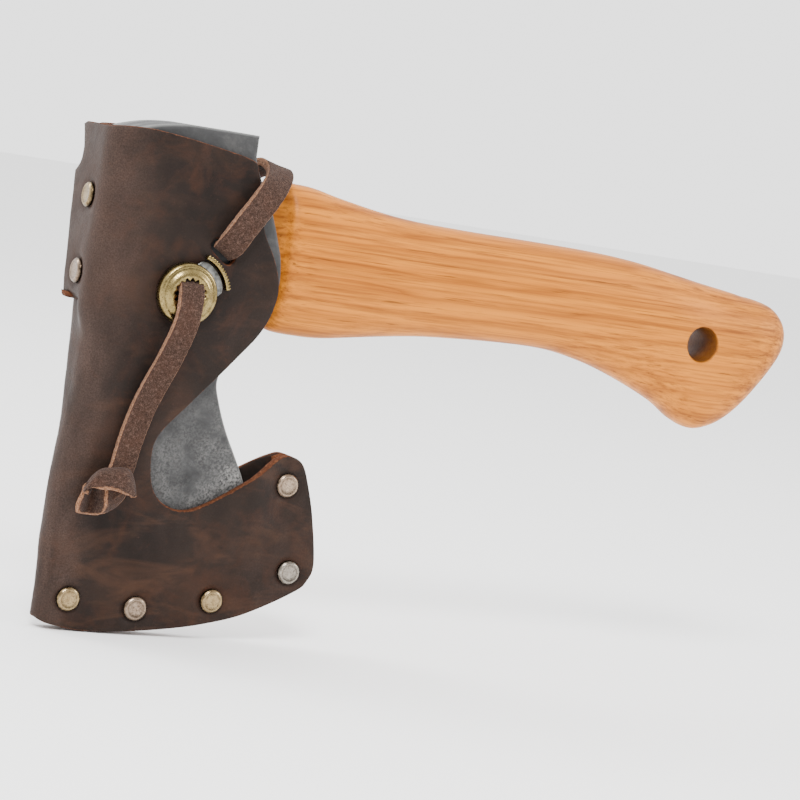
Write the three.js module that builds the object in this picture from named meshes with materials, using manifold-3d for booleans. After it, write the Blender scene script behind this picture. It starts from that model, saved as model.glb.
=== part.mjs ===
// A small camp hatchet with its head in a riveted leather sheath, in millimetres.
// +Z is up (poll up, bit down), +X runs along the haft, and -Y is the sheath's front panel.
// The origin is under the middle of the object, at the height of the sheath's lowest edge.
import * as THREE from "three";
import { mergeVertices } from "three/addons/utils/BufferGeometryUtils.js";
import Module from "manifold-3d";

const wasm = await Module();
wasm.setup();

// ---------- driving dimensions ----------
const GAP = 0.3; // play between pieces that touch
const FIT = 0.45; // play between the leather and the steel
const LEATHER = 2.6; // thickness of the sheath's leather
const WELT = 2.6; // thickness of the spacer strip between the panels
const CHEEK = 11; // half the thickness of the head at the eye
const POLL_Z = 146.4; // height of the poll's flat face
const POLL_CHAMFER = 1.3;
const SPINE_X = -117.2; // outer face of the folded spine
const FLAP_X = -119.8; // outer face of the flap that lies over the spine
const HAFT_MID_Z = 113.2; // height of the tongue's middle
const TONGUE_HEIGHT = 35.6;
const TONGUE_HALF = 7; // half the thickness of the tongue
const HANG_HOLE = { x: 84.4, z: 105.6, radius: 5.3 };
const RIVET = { cap: 3.6, post: 1.5, crown: 1.2, sink: 0.5 };
const LOCK = { x: -92, z: 99.8, radius: 8.9, bore: 4.7, tilt: THREE.MathUtils.degToRad(42) };
const THONG = { width: 7, thickness: 2.2 };

// Half the head's thickness against height, from the bit to the poll.
const HEAD_HALF = [[15, 1.2], [21, 2.2], [36, 4.0], [56, 6.2], [76, 8.6], [96, CHEEK], [160, CHEEK]];
// The height of the beard's rear edge against x, from the eye down to the heel.
const BEARD = [[-75, 77], [-69, 61], [-62, 49.5], [-56.5, 39], [-49.5, 28], [-48, 14]];
const BEARD_TOP = 62;
const BEARD_PLAY = 2.6;

const SURFACES = {
  steel: { color: 0x4b4d50, roughness: 0.55, metalness: 0.8 },
  hickory: { color: 0xd9914c, roughness: 0.5, metalness: 0 },
  leather: { color: 0x4b3a31, roughness: 0.7, metalness: 0 },
  rawLeather: { color: 0x9a5530, roughness: 0.9, metalness: 0 },
  suede: { color: 0x6a4436, roughness: 0.95, metalness: 0 },
  brass: { color: 0xb8a878, roughness: 0.4, metalness: 0.9 },
  plate: { color: 0xb9bab6, roughness: 0.35, metalness: 0.95 },
};

// ---------- numbers ----------
const at = (x, z) => new THREE.Vector2(x, z);

// A table's value at t, on straight lines between its [t, value] rows.
function tableValue(table, t) {
  if (t <= table[0][0]) return table[0][1];
  for (let i = 1; i < table.length; i++) {
    const [t0, v0] = table[i - 1];
    const [t1, v1] = table[i];
    if (t <= t1) return v0 + ((v1 - v0) * (t - t0)) / (t1 - t0);
  }
  return table[table.length - 1][1];
}

// Evenly spaced values from a to b.
function spread(a, b, steps) {
  return Array.from({ length: steps + 1 }, (_, i) => a + ((b - a) * i) / steps);
}

// A wall of half thickness half that rounds off with radius towards a face at a distance.
function roundedHalf(half, distance, radius) {
  const r = Math.min(radius, half);
  if (distance >= r) return half;
  const into = r - Math.max(distance, 0);
  return Math.max(half - r + Math.sqrt(r * r - into * into), 0.15);
}

// ---------- solids ----------
function toSolid(geometry) {
  const bare = geometry.index ? geometry.toNonIndexed() : geometry.clone();
  bare.deleteAttribute("normal");
  bare.deleteAttribute("uv");
  const merged = mergeVertices(bare, 1e-4);
  return new wasm.Manifold(
    new wasm.Mesh({
      numProp: 3,
      vertProperties: new Float32Array(merged.attributes.position.array),
      triVerts: new Uint32Array(merged.index.array),
    }),
  );
}

function toGeometry(solid) {
  const mesh = solid.getMesh();
  const geometry = new THREE.BufferGeometry();
  geometry.setAttribute("position", new THREE.BufferAttribute(mesh.vertProperties, 3));
  geometry.setIndex(new THREE.BufferAttribute(mesh.triVerts, 1));
  geometry.computeVertexNormals();
  return geometry;
}

// A closed body from rows of points, each row a ring, with both ends capped.
function loft(rings) {
  const count = rings[0].length;
  const positions = rings.flat().flatMap((p) => [p.x, p.y, p.z]);
  const index = [];
  for (let i = 0; i + 1 < rings.length; i++) {
    for (let j = 0; j < count; j++) {
      const a = i * count + j;
      const b = i * count + ((j + 1) % count);
      index.push(a, b, b + count, a, b + count, a + count);
    }
  }
  const last = (rings.length - 1) * count;
  for (let j = 1; j + 1 < count; j++) {
    index.push(0, j + 1, j);
    index.push(last, last + j, last + j + 1);
  }
  const geometry = new THREE.BufferGeometry();
  geometry.setAttribute("position", new THREE.Float32BufferAttribute(positions, 3));
  geometry.setIndex(index);
  return geometry;
}

// The body between y = -half(x, z) and y = +half(x, z), over a grid of xs and zs.
function fieldSolid(xs, zs, half) {
  const rings = xs.map((x) => {
    const front = zs.map((z) => new THREE.Vector3(x, -half(x, z), z));
    const back = zs.map((z) => new THREE.Vector3(x, half(x, z), z)).reverse();
    return [...front, ...back];
  });
  const count = rings[0].length;
  const positions = rings.flat().flatMap((p) => [p.x, p.y, p.z]);
  const index = [];
  const quad = (a, b, c, d) => index.push(a, b, c, a, c, d);
  for (let i = 0; i + 1 < xs.length; i++) {
    for (let j = 0; j < count; j++) {
      const a = i * count + j;
      const b = i * count + ((j + 1) % count);
      quad(a, a + count, b + count, b);
    }
  }
  for (let j = 0; j + 1 < zs.length; j++) {
    const mirrored = count - 1 - j;
    quad(j, j + 1, mirrored - 1, mirrored);
    const end = (xs.length - 1) * count;
    quad(end + j, end + mirrored, end + mirrored - 1, end + j + 1);
  }
  const geometry = new THREE.BufferGeometry();
  geometry.setAttribute("position", new THREE.Float32BufferAttribute(positions, 3));
  geometry.setIndex(index);
  return toSolid(geometry);
}

// A shape drawn in x and z, made solid from y = from to y = to.
function slabY(shape, from, to, curveSegments = 3) {
  const geometry = new THREE.ExtrudeGeometry(shape, { depth: to - from, bevelEnabled: false, curveSegments });
  geometry.rotateX(Math.PI / 2);
  geometry.translate(0, to, 0);
  return toSolid(geometry);
}

// A shape drawn in x and y, made solid from z = from to z = to.
function slabZ(shape, from, to, curveSegments = 3) {
  const geometry = new THREE.ExtrudeGeometry(shape, { depth: to - from, bevelEnabled: false, curveSegments });
  geometry.translate(0, 0, from);
  return toSolid(geometry);
}

// A shape drawn in y and z, made solid from x = from to x = to.
function slabX(shape, from, to, curveSegments = 3) {
  const geometry = new THREE.ExtrudeGeometry(shape, { depth: to - from, bevelEnabled: false, curveSegments });
  const along = [new THREE.Vector3(0, 1, 0), new THREE.Vector3(0, 0, 1), new THREE.Vector3(1, 0, 0)];
  geometry.applyMatrix4(new THREE.Matrix4().makeBasis(...along));
  geometry.translate(from, 0, 0);
  return toSolid(geometry);
}

function boxSolid(width, depth, height, matrix) {
  return toSolid(new THREE.BoxGeometry(width, depth, height).applyMatrix4(matrix));
}

// A turned body round the line through centre along axis. Its profile holds [radius, height] rows.
function turned(profile, centre, axis, segments = 16) {
  const points = profile.map(([radius, height]) => at(radius, height));
  const geometry = new THREE.LatheGeometry(points, segments);
  const turn = new THREE.Quaternion().setFromUnitVectors(new THREE.Vector3(0, 1, 0), axis);
  geometry.applyQuaternion(turn);
  geometry.translate(centre.x, centre.y, centre.z);
  return toSolid(geometry);
}

const rod = (radius, from, to) => [[0, from], [radius, from], [radius, to], [0, to]];

// ---------- head ----------
function headOutline() {
  const shape = new THREE.Shape();
  shape.moveTo(-113, 17.6);
  shape.splineThru([at(-97, 14.8), at(-80, 15.6), at(-62, 20.3), at(-49.5, 28)]);
  shape.splineThru([at(-56.5, 39), at(-62, 49.5), at(-69, 61), at(-74, 71), at(-75.2, 77)]);
  shape.splineThru([at(-72.5, 83), at(-67, 91.5), at(-63.4, 99), at(-62, 105.5), at(-62.8, 112.5)]);
  shape.splineThru([at(-64.8, 118.5), at(-68.4, 127), at(-72.6, 134), at(-75.3, 140)]);
  shape.lineTo(-75.6, POLL_Z);
  shape.lineTo(-95, POLL_Z);
  shape.splineThru([at(-100, POLL_Z - 0.5), at(-106, POLL_Z - 1.6), at(-112.6, POLL_Z - 3.6)]);
  shape.splineThru([at(-112.4, 110), at(-112.2, 60), at(-113, 17.6)]);
  return shape;
}

// The height of the cutting edge at x.
const edgeZ = (x) => tableValue([[-113, 17.6], [-97, 14.8], [-80, 15.6], [-62, 20.3], [-49.5, 28]], x);

// Half the blade's thickness, which the grind thins towards the edge.
function bladeHalf(x, z) {
  const bevel = 0.25 + 0.24 * Math.max(z - edgeZ(x), 0);
  return Math.min(tableValue(HEAD_HALF, z), bevel);
}

function headHalf(x, z) {
  const chamfer = CHEEK - Math.max(POLL_CHAMFER - (POLL_Z - z), 0);
  const leftSide = CHEEK - 0.8 * Math.max(2 - (x + 112.6), 0);
  return Math.max(Math.min(bladeHalf(x, z), chamfer, leftSide), 0.2);
}

function axeHead() {
  const xs = [-114, -112.6, -110.6, ...spread(-105, -60, 9), -54, -48];
  const zs = [12, 14.5, 17, 20, 24, 28, 36, 46, 56, 66, 76, 86, 96, 120, 144, 145.1, POLL_Z, 148];
  const body = slabY(headOutline(), -15, 15).intersect(fieldSolid(xs, zs, headHalf));
  return body.subtract(ovalBar(-125, -50, TONGUE_HALF + FIT / 2, TONGUE_HEIGHT / 2 + FIT / 2));
}

// An oval bar along X, for the eye of the head.
function ovalBar(from, to, halfY, halfZ) {
  const ring = (x) =>
    spread(0, Math.PI * 2, 20)
      .slice(0, -1)
      .map((a) => ovalPoint(x, 0, HAFT_MID_Z, halfY, halfZ, a));
  return toSolid(loft([ring(from), ring(to)]));
}

// A point of an upright oval section, rather squarer than an ellipse.
function ovalPoint(x, y, z, halfY, halfZ, angle) {
  const squared = (v) => Math.sign(v) * Math.pow(Math.abs(v), 0.85);
  return new THREE.Vector3(x, y + halfY * squared(Math.cos(angle)), z + halfZ * squared(Math.sin(angle)));
}

// ---------- haft ----------
// Stations along the haft: x, top, bottom and half the thickness.
const HAFT = [
  [-112.4, 131, 95.4, TONGUE_HALF],
  [-69.2, 131, 95.4, TONGUE_HALF],
  [-67, 133.4, 95.4, TONGUE_HALF - 0.8],
  [-64.5, 134.6, 95.2, TONGUE_HALF - 1],
  [-61.3, 134.9, 92.6, TONGUE_HALF + 0.1],
  [-58.5, 134.6, 91.4, 9.6],
  [-52, 134.2, 90.9, 10.3],
  [-42, 132.3, 91.2, 10.4],
  [-24, 129.8, 93.9, 10.2],
  [-4, 128.9, 96, 10],
  [28, 128.8, 97.1, 9.9],
  [46, 128.4, 95, 10],
  [62, 127.4, 90.4, 10.3],
  [76, 125.5, 85, 10.7],
  [84, 124.3, 80.4, 10.8],
  [91, 123.4, 78.3, 10.7],
  [97, 122.7, 79.8, 10.5],
  [102, 122, 83, 10.2],
  [107, 121.5, 88.2, 9.7],
  [112.5, 120.2, 95.6, 8.6],
  [116.3, 117.6, 101.2, 6.8],
  [118.8, 114.2, 105.2, 4.2],
  [119.8, 111.6, 107.8, 1.8],
];

function haft() {
  const rings = HAFT.map(([x, top, bottom, half]) =>
    spread(0, Math.PI * 2, 20)
      .slice(0, -1)
      .map((a) => ovalPoint(x, 0, (top + bottom) / 2, half, (top - bottom) / 2, a)),
  );
  const hole = turned(
    rod(HANG_HOLE.radius, -20, 20),
    new THREE.Vector3(HANG_HOLE.x, 0, HANG_HOLE.z),
    new THREE.Vector3(0, 1, 0),
    24,
  );
  return toSolid(loft(rings)).subtract(hole).subtract(wedgeBlank(0.15)).subtract(ringBlank(0.15));
}

const TONGUE_END = -112.4;
const WEDGE = { length: 34, thick: 3.4, thin: 0.8, height: 29 };
const RING = { radius: 5, wall: 1.3, depth: 12 };

// The wooden wedge, in a kerf along the tongue's middle plane.
function wedgeBlank(grow) {
  const shape = new THREE.Shape();
  const end = TONGUE_END - (grow ? 1 : -0.2);
  shape.moveTo(end, -WEDGE.thick / 2 - grow);
  shape.lineTo(TONGUE_END + WEDGE.length + grow, -WEDGE.thin / 2 - grow);
  shape.lineTo(TONGUE_END + WEDGE.length + grow, WEDGE.thin / 2 + grow);
  shape.lineTo(end, WEDGE.thick / 2 + grow);
  return slabZ(shape, HAFT_MID_Z - WEDGE.height / 2 - grow, HAFT_MID_Z + WEDGE.height / 2 + grow);
}

// The steel ring that is driven into the tongue's end across the wedge.
function ringBlank(grow) {
  const outer = RING.radius + grow;
  const inner = RING.radius - RING.wall - grow;
  const start = grow ? -1 : 0.4;
  const end = RING.depth + grow;
  const profile = [[inner, start], [outer, start], [outer, end], [inner, end], [inner, start]];
  return turned(profile, new THREE.Vector3(TONGUE_END, 0, HAFT_MID_Z), new THREE.Vector3(1, 0, 0), 16);
}

// ---------- sheath ----------
function sheathOutline() {
  const shape = new THREE.Shape();
  shape.moveTo(SPINE_X, 3);
  shape.lineTo(SPINE_X, 142.2);
  shape.quadraticCurveTo(SPINE_X, 143.5, -115.5, 143.6);
  shape.splineThru([at(-104, 143.1), at(-92, 141.7), at(-82.5, 140.3), at(-77.8, 139.4)]);
  shape.quadraticCurveTo(-75.9, 139, -75.5, 136.5);
  shape.splineThru([at(-73.3, 129), at(-70.7, 120), at(-65.8, 111.6), at(-63.5, 103), at(-66.2, 92.4)]);
  shape.splineThru([at(-74, 81.2), at(-84.6, 67.4), at(-90.6, 59.4), at(-92, 53), at(-89.6, 43.2)]);
  shape.splineThru([at(-84.4, 38.4), at(-77.7, 37.5), at(-69.6, 41.3), at(-56.1, 50.9), at(-50.4, 54.9)]);
  shape.splineThru([at(-46.8, 56.1), at(-42.2, 54.2), at(-39.2, 48), at(-35.7, 37), at(-33.2, 25)]);
  shape.splineThru([at(-34.6, 19.6), at(-38.5, 15.8), at(-53.1, 8.3), at(-65.5, 4.5), at(-77.9, 2.1)]);
  shape.splineThru([at(-90.4, 0.6), at(-103, 0), at(-114.6, 1)]);
  shape.quadraticCurveTo(SPINE_X, 1.4, SPINE_X, 3);
  return shape;
}

// Half the gap between the panels. It closes on the welt, and elsewhere it clears the head, which
// comes out upwards: behind the beard it lets through what the beard's edge carries past.
function pocketHalf(x, z) {
  const passing = z > BEARD_TOP ? z : Math.min(z, tableValue(BEARD, x - BEARD_PLAY));
  return Math.max(bladeHalf(x, passing) + FIT, WELT / 2 + GAP / 2);
}

const outerHalf = (x, z) => roundedHalf(pocketHalf(x, z) + LEATHER, x - SPINE_X, 6);
const innerHalf = (x, z) => roundedHalf(pocketHalf(x, z), x - SPINE_X - LEATHER, 3.4);

function sheathGrid(face) {
  const corner = [0, 0.4, 1.3, 2.8, 6.2].map((step) => face + step);
  return [...corner, -92, -74, -66, -60, -55, -51, -47, -40, -28];
}

function sheathBody() {
  const zs = [-2, 5, 9, 13, 21, 28, 36, 46, 56, 66, 76, 86, 96, 148];
  const outer = fieldSolid(sheathGrid(SPINE_X), zs, outerHalf);
  const inner = fieldSolid(sheathGrid(SPINE_X + LEATHER), zs, innerHalf);
  let body = slabY(sheathOutline(), -20, 20, 2).intersect(outer).subtract(inner);
  for (const place of edgeRivetPlaces()) body = body.subtract(rivetBlank(place));
  for (const place of spineRivetPlaces()) body = body.subtract(rivetBlank(place));
  for (const place of loopRivetPlaces()) body = body.subtract(rivetBlank(place));
  body = body.subtract(thongSlit(THONG_SLITS.front)).subtract(thongSlit(THONG_SLITS.back));
  return body.subtract(eyeletBlank());
}

// The front panel's flap goes round the front corner and lies flat over the spine.
const FLAP = { wall: 2.3, low: 92.9, top: 143.2 };

function flapPath() {
  const radius = 6 + GAP + FLAP.wall / 2;
  const corner = at(SPINE_X + 6, -(CHEEK + FIT + LEATHER - 6));
  const turn = spread(44, 90, 5).map((angle) => {
    const a = THREE.MathUtils.degToRad(angle);
    return at(corner.x - radius * Math.sin(a), corner.y - radius * Math.cos(a));
  });
  return [...turn, at(corner.x - radius, 16)];
}

// A strip of the given thickness along a path in x and y.
function stripShape(path, thickness) {
  const left = [];
  const right = [];
  path.forEach((point, i) => {
    const before = path[Math.max(i - 1, 0)];
    const after = path[Math.min(i + 1, path.length - 1)];
    const along = after.clone().sub(before).normalize();
    const across = at(-along.y, along.x).multiplyScalar(thickness / 2);
    left.push(point.clone().add(across));
    right.push(point.clone().sub(across));
  });
  return new THREE.Shape([...left, ...right.reverse()]);
}

function spineFlap() {
  const outline = new THREE.Shape();
  outline.moveTo(-20, FLAP.low);
  outline.lineTo(8.4, FLAP.low);
  outline.lineTo(13.8, 129.1);
  outline.splineThru([at(11.4, 129.8), at(9.7, 132.1), at(9.3, 135.4), at(10.4, 139), at(11.7, 141.9)]);
  outline.lineTo(-20, FLAP.top);
  const strip = slabZ(stripShape(flapPath(), FLAP.wall), FLAP.low - 1, FLAP.top + 1);
  let flap = strip.intersect(slabX(outline, -130, -100));
  for (const place of spineRivetPlaces()) flap = flap.subtract(rivetBlank(place));
  return flap;
}

// The belt loop on the back panel: two riveted feet, with the strap standing off between them.
const LOOP = { wall: 2.3, lift: 4.3, from: -113.5, to: -66, low: 100, high: 119 };

function beltLoop() {
  const foot = CHEEK + FIT + LEATHER + GAP + LOOP.wall / 2;
  const crest = foot + LOOP.lift;
  const path = new THREE.SplineCurve([
    at(LOOP.from, foot),
    at(-107.5, foot),
    at(-104.4, foot + 0.5),
    at(-101.4, crest - 0.7),
    at(-98, crest),
    at(-80, crest),
    at(-76.8, crest - 0.7),
    at(-74.2, foot + 0.5),
    at(-71.5, foot),
    at(LOOP.to, foot),
  ]);
  const outline = new THREE.Shape();
  outline.moveTo(LOOP.from + 3, LOOP.low);
  outline.lineTo(LOOP.to - 3, LOOP.low);
  outline.quadraticCurveTo(LOOP.to, LOOP.low, LOOP.to, LOOP.low + 3);
  outline.lineTo(LOOP.to, LOOP.high - 3);
  outline.quadraticCurveTo(LOOP.to, LOOP.high, LOOP.to - 3, LOOP.high);
  outline.lineTo(LOOP.from + 3, LOOP.high);
  outline.quadraticCurveTo(LOOP.from, LOOP.high, LOOP.from, LOOP.high - 3);
  outline.lineTo(LOOP.from, LOOP.low + 3);
  outline.quadraticCurveTo(LOOP.from, LOOP.low, LOOP.from + 3, LOOP.low);
  const strip = slabZ(stripShape(path.getPoints(27), LOOP.wall), LOOP.low - 1, LOOP.high + 1);
  let loop = strip.intersect(slabY(outline, 10, 30));
  for (const place of loopRivetPlaces()) loop = loop.subtract(rivetBlank(place));
  return loop;
}

// The spacer strip along the bottom and behind the heel, with its inner side clear of the head.
function edgeWelt() {
  const strip = new THREE.Shape();
  strip.moveTo(SPINE_X + LEATHER + 1.6, -5);
  strip.lineTo(SPINE_X + LEATHER + 1.6, 15);
  strip.splineThru([at(-97, 12.8), at(-80, 13.6), at(-61.3, 18.4), at(-48.7, 26)]);
  strip.lineTo(-48.7, 60);
  strip.lineTo(-25, 60);
  strip.lineTo(-25, -5);
  let welt = slabY(strip, -WELT / 2, WELT / 2).intersect(slabY(sheathOutline(), -5, 5, 2));
  for (const place of edgeRivetPlaces()) welt = welt.subtract(rivetBlank(place));
  return welt;
}

// ---------- rivets ----------
// Each place has a centre, the cap's direction and the grip, the thickness of what it holds.
const EDGE_RIVETS = [[-108.2, 8.9], [-87.5, 7.6], [-64.2, 11.5], [-41.1, 21.8], [-46.1, 47.4]];

function edgeRivetPlaces() {
  return EDGE_RIVETS.map(([x, z]) => ({
    centre: new THREE.Vector3(x, 0, z),
    axis: new THREE.Vector3(0, -1, 0),
    grip: 2 * outerHalf(x, z),
  }));
}

function spineRivetPlaces() {
  const inside = SPINE_X + LEATHER;
  return [101.2, 122.6].map((z) => ({
    centre: new THREE.Vector3((FLAP_X + inside) / 2, 0, z),
    axis: new THREE.Vector3(-1, 0, 0),
    grip: inside - FLAP_X,
  }));
}

function loopRivetPlaces() {
  const inside = CHEEK + FIT;
  const outside = inside + LEATHER + GAP + LOOP.wall;
  const spots = [at(-109.2, 104.6), at(-109.2, 114.6), at(-70.4, 104.6), at(-70.4, 114.6)];
  return spots.map((spot) => ({
    centre: new THREE.Vector3(spot.x, (inside + outside) / 2, spot.y),
    axis: new THREE.Vector3(0, 1, 0),
    grip: outside - inside,
  }));
}

// The hole for the post, and the dents that the cap and the flange press into the leather.
function rivetBlank({ centre, axis, grip }) {
  const dent = RIVET.cap + 0.25;
  const hole = RIVET.post + 0.25;
  const inner = grip / 2 - RIVET.sink;
  const profile = [
    [0, -grip / 2 - 2],
    [dent, -grip / 2 - 2],
    [dent, -inner],
    [hole, -inner],
    [hole, inner],
    [dent, inner],
    [dent, grip / 2 + 2],
    [0, grip / 2 + 2],
  ];
  return turned(profile, centre, axis, 12);
}

function rivetCap({ centre, axis, grip }) {
  const base = grip / 2 - RIVET.sink + 0.1;
  const profile = [
    [0, base],
    [RIVET.cap, base],
    [RIVET.cap, base + RIVET.crown * 0.55],
    [RIVET.cap - 0.55, base + RIVET.crown],
    [0, base + RIVET.crown + 0.12],
  ];
  return turned(profile, centre, axis);
}

function rivetPost({ centre, axis, grip }, flange) {
  const seat = -grip / 2 + RIVET.sink - 0.1;
  const profile = [
    [0, seat - flange],
    [RIVET.cap - 0.4, seat - flange],
    [RIVET.cap, seat - flange * 0.6],
    [RIVET.cap, seat],
    [RIVET.post, seat],
    [RIVET.post, grip / 2 - RIVET.sink - GAP + 0.1],
    [0, grip / 2 - RIVET.sink - GAP + 0.1],
  ];
  return turned(profile, centre, axis, 12);
}

// ---------- cord lock ----------
const lockFace = -(CHEEK + FIT + LEATHER); // the panel's outer face under the lock
const lockCentre = new THREE.Vector3(LOCK.x, lockFace, LOCK.z);
const lockOut = new THREE.Vector3(0, -1, 0);
const PLATE = { low: 1.4, high: 2.5, half: 5.5, tip: 10.5, spread: 0.42, tooth: 3.75, root: 4.5, teeth: 16 };

// A shape drawn in the plate's own plane: x towards the button, height s off the leather.
function lockSlab(shape, low, high, curveSegments = 8) {
  const geometry = new THREE.ExtrudeGeometry(shape, { depth: high - low, bevelEnabled: false, curveSegments });
  geometry.rotateX(Math.PI / 2);
  geometry.rotateY(-LOCK.tilt);
  geometry.translate(LOCK.x, lockFace - low, LOCK.z);
  return toSolid(geometry);
}

function lockShell() {
  const profile = [
    [8, 0.1],
    [LOCK.radius, 0.1],
    [LOCK.radius, 1.5],
    [8.6, 2.5],
    [7.7, 3.5],
    [6.4, 4.1],
    [5.3, 4.2],
    [LOCK.bore, 3.8],
    [LOCK.bore, 2.85],
    [6.6, 2.8],
    [7.8, 2.4],
    [8, 1.5],
    [8, 0.1],
  ];
  const slot = new THREE.Shape([at(5, -PLATE.half - 0.3), at(12, -PLATE.half - 0.3), at(12, PLATE.half + 0.3), at(5, PLATE.half + 0.3)]);
  return turned(profile, lockCentre, lockOut, 24).subtract(lockSlab(slot, 1.1, 2.75));
}

// The eyelet: a barrel through the panel, flared over outside and flanged inside.
function lockEyelet() {
  const inner = -LEATHER + RIVET.sink;
  const profile = [
    [5.3, inner - 0.8],
    [8.2, inner - 0.8],
    [8.2, inner - 0.1],
    [6.1, inner - 0.1],
    [6.1, 0.15],
    [7.2, 0.2],
    [7.2, 0.9],
    [5.9, 1],
    [5.3, 0.7],
    [5.3, inner - 0.8],
  ];
  return turned(profile, lockCentre, lockOut, 20);
}

function eyeletBlank() {
  const inner = -LEATHER + RIVET.sink;
  const profile = [[0, -6], [8.5, -6], [8.5, inner], [6.4, inner], [6.4, 4], [0, 4]];
  return turned(profile, lockCentre, lockOut, 20);
}

function lockPlate() {
  const shape = new THREE.Shape();
  shape.absarc(0, 0, PLATE.tip, -PLATE.spread, PLATE.spread, false);
  shape.lineTo(7, PLATE.half);
  shape.lineTo(0, PLATE.half);
  shape.absarc(0, 0, PLATE.half, Math.PI / 2, (Math.PI * 3) / 2, false);
  shape.lineTo(7, -PLATE.half);
  const teeth = spread(0, Math.PI * 2, PLATE.teeth * 2).slice(0, -1);
  const rim = teeth.map((a, i) => {
    const radius = i % 2 ? PLATE.root : PLATE.tooth;
    return at(radius * Math.cos(a), radius * Math.sin(a));
  });
  shape.holes.push(new THREE.Path(rim));
  return lockSlab(shape, PLATE.low, PLATE.high);
}

// The knurled rim that the finger presses, concentric with the lock.
function lockButton() {
  const half = THREE.MathUtils.degToRad(29);
  const inner = PLATE.tip + GAP + 0.2;
  const outer = inner + 1.2;
  const ridges = spread(half, -half, 24).map((a, i) => {
    const radius = outer + (i % 2 ? 0.25 : 0);
    return at(radius * Math.cos(a), radius * Math.sin(a));
  });
  const inside = spread(-half, half, 8).map((a) => at(inner * Math.cos(a), inner * Math.sin(a)));
  return lockSlab(new THREE.Shape([...ridges, ...inside]), 0.7, 3.3);
}

// A bowed leaf between the shell and the plate's rounded end.
function lockSpring() {
  const path = spread(-3, 3, 8).map((v) => at(-6.9 + Math.cos((v / 3) * (Math.PI / 2)) ** 2, v));
  return lockSlab(stripShape(path, 0.4), PLATE.low, PLATE.high - 0.2);
}

// ---------- thong ----------
const THONG_SLITS = {
  front: { x: -82.6, z: 112.8, angle: THREE.MathUtils.degToRad(53), side: -1 },
  back: { x: -78.2, z: 127.3, angle: THREE.MathUtils.degToRad(53), side: 1 },
};

function thongSlit({ x, z, angle, side }) {
  const matrix = new THREE.Matrix4().makeRotationY(-angle);
  matrix.setPosition(x, side * (CHEEK + FIT + LEATHER / 2), z);
  return boxSolid(5.2, LEATHER + 2, THONG.width + 2, matrix);
}

// A flat strap along points, each with the direction that its outer face looks in. It has the
// given number of steps between one point and the next.
function strap(stations, between) {
  const curve = new THREE.CatmullRomCurve3(stations.map((s) => new THREE.Vector3(...s.point)));
  const looks = new THREE.CatmullRomCurve3(stations.map((s) => new THREE.Vector3(...s.out)));
  const steps = (stations.length - 1) * between;
  const rings = spread(0, 1, steps).map((t) => {
    const along = curve.getTangent(t);
    const across = looks.getPoint(t).cross(along).normalize();
    const out = along.clone().cross(across).normalize();
    const half = THONG.width / 2;
    const thick = THONG.thickness / 2;
    const section = [
      [half, thick * 0.5],
      [half * 0.9, thick],
      [-half * 0.9, thick],
      [-half, thick * 0.5],
      [-half, -thick * 0.5],
      [-half * 0.9, -thick],
      [half * 0.9, -thick],
      [half, -thick * 0.5],
    ];
    return section.map(([a, b]) => curve.getPoint(t).addScaledVector(across, a).addScaledVector(out, b));
  });
  return toSolid(loft(rings));
}

const LOOP_ROUTE = [
  { point: [-82.9, -13.2, 112.3], out: [-0.3, -1, -0.4] },
  { point: [-81.2, -15.9, 114.8], out: [0, -1, 0.2] },
  { point: [-78, -17.4, 121.2], out: [0, -1, 0] },
  { point: [-74, -16.9, 128], out: [0, -1, 0.1] },
  { point: [-70.2, -14.6, 133.2], out: [0, -0.85, 0.45] },
  { point: [-66.6, -8, 136.9], out: [0.1, -0.35, 1] },
  { point: [-66, 0, 138.3], out: [0.26, 0, 1] },
  { point: [-66.8, 8, 136.9], out: [0.1, 0.35, 1] },
  { point: [-69.6, 14.4, 133.4], out: [-0.1, 0.8, 0.5] },
  { point: [-75.1, 16.4, 130], out: [0, 1, 0.1] },
  { point: [-78.4, 14.4, 127.2], out: [0.4, 1, 0.5] },
];

// The free end hangs from the lock over the panel, and ends in its knot.
const TAIL_ROUTE = [
  { point: [-91.9, -18, 101], out: [0, -1, 0.25] },
  { point: [-91.95, -18.5, 98.9], out: [0, -1, 0.25] },
  { point: [-92.15, -19.3, 96.6], out: [0, -1, 0.2] },
  { point: [-92.5, -19.9, 94], out: [0, -1, 0.1] },
  { point: [-93, -19.8, 91], out: [0, -1, 0] },
  { point: [-93.6, -19.1, 87.6], out: [0, -1, 0.2] },
  { point: [-94.2, -18.1, 84.4], out: [0, -1, 0.3] },
  { point: [-94.9, -17, 81], out: [0, -1, 0.3] },
  { point: [-95.7, -15.8, 77.6], out: [0, -1, 0.3] },
  { point: [-96.6, -14.7, 74.2], out: [0, -1, 0.3] },
  { point: [-97.5, -13.75, 70.8], out: [0, -1, 0.2] },
  { point: [-98.4, -13, 67.4], out: [0, -1, 0.2] },
  { point: [-99.1, -12.45, 64], out: [0, -1, 0.15] },
  { point: [-99.8, -12.05, 60.5], out: [0, -1, 0.1] },
  { point: [-100.4, -11.8, 57], out: [0, -1, 0.05] },
  { point: [-101, -11.75, 53.4], out: [0, -1, 0] },
  { point: [-101.5, -11.9, 49.8], out: [0, -1, 0] },
];

// The knot: the end folded over itself, as a rounded lump under the tail's end.
function thongKnot() {
  const lump = new THREE.SphereGeometry(1, 16, 10);
  lump.scale(8.3, 4.9, 7.2);
  lump.rotateY(0.35);
  lump.translate(-104.6, -13.6, 41.9);
  return toSolid(lump);
}

// ---------- assembly ----------
const hatchet = new THREE.Group();

function place(name, solid, surface) {
  const mesh = new THREE.Mesh(toGeometry(solid), new THREE.MeshStandardMaterial(SURFACES[surface]));
  mesh.name = name;
  hatchet.add(mesh);
}

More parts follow.
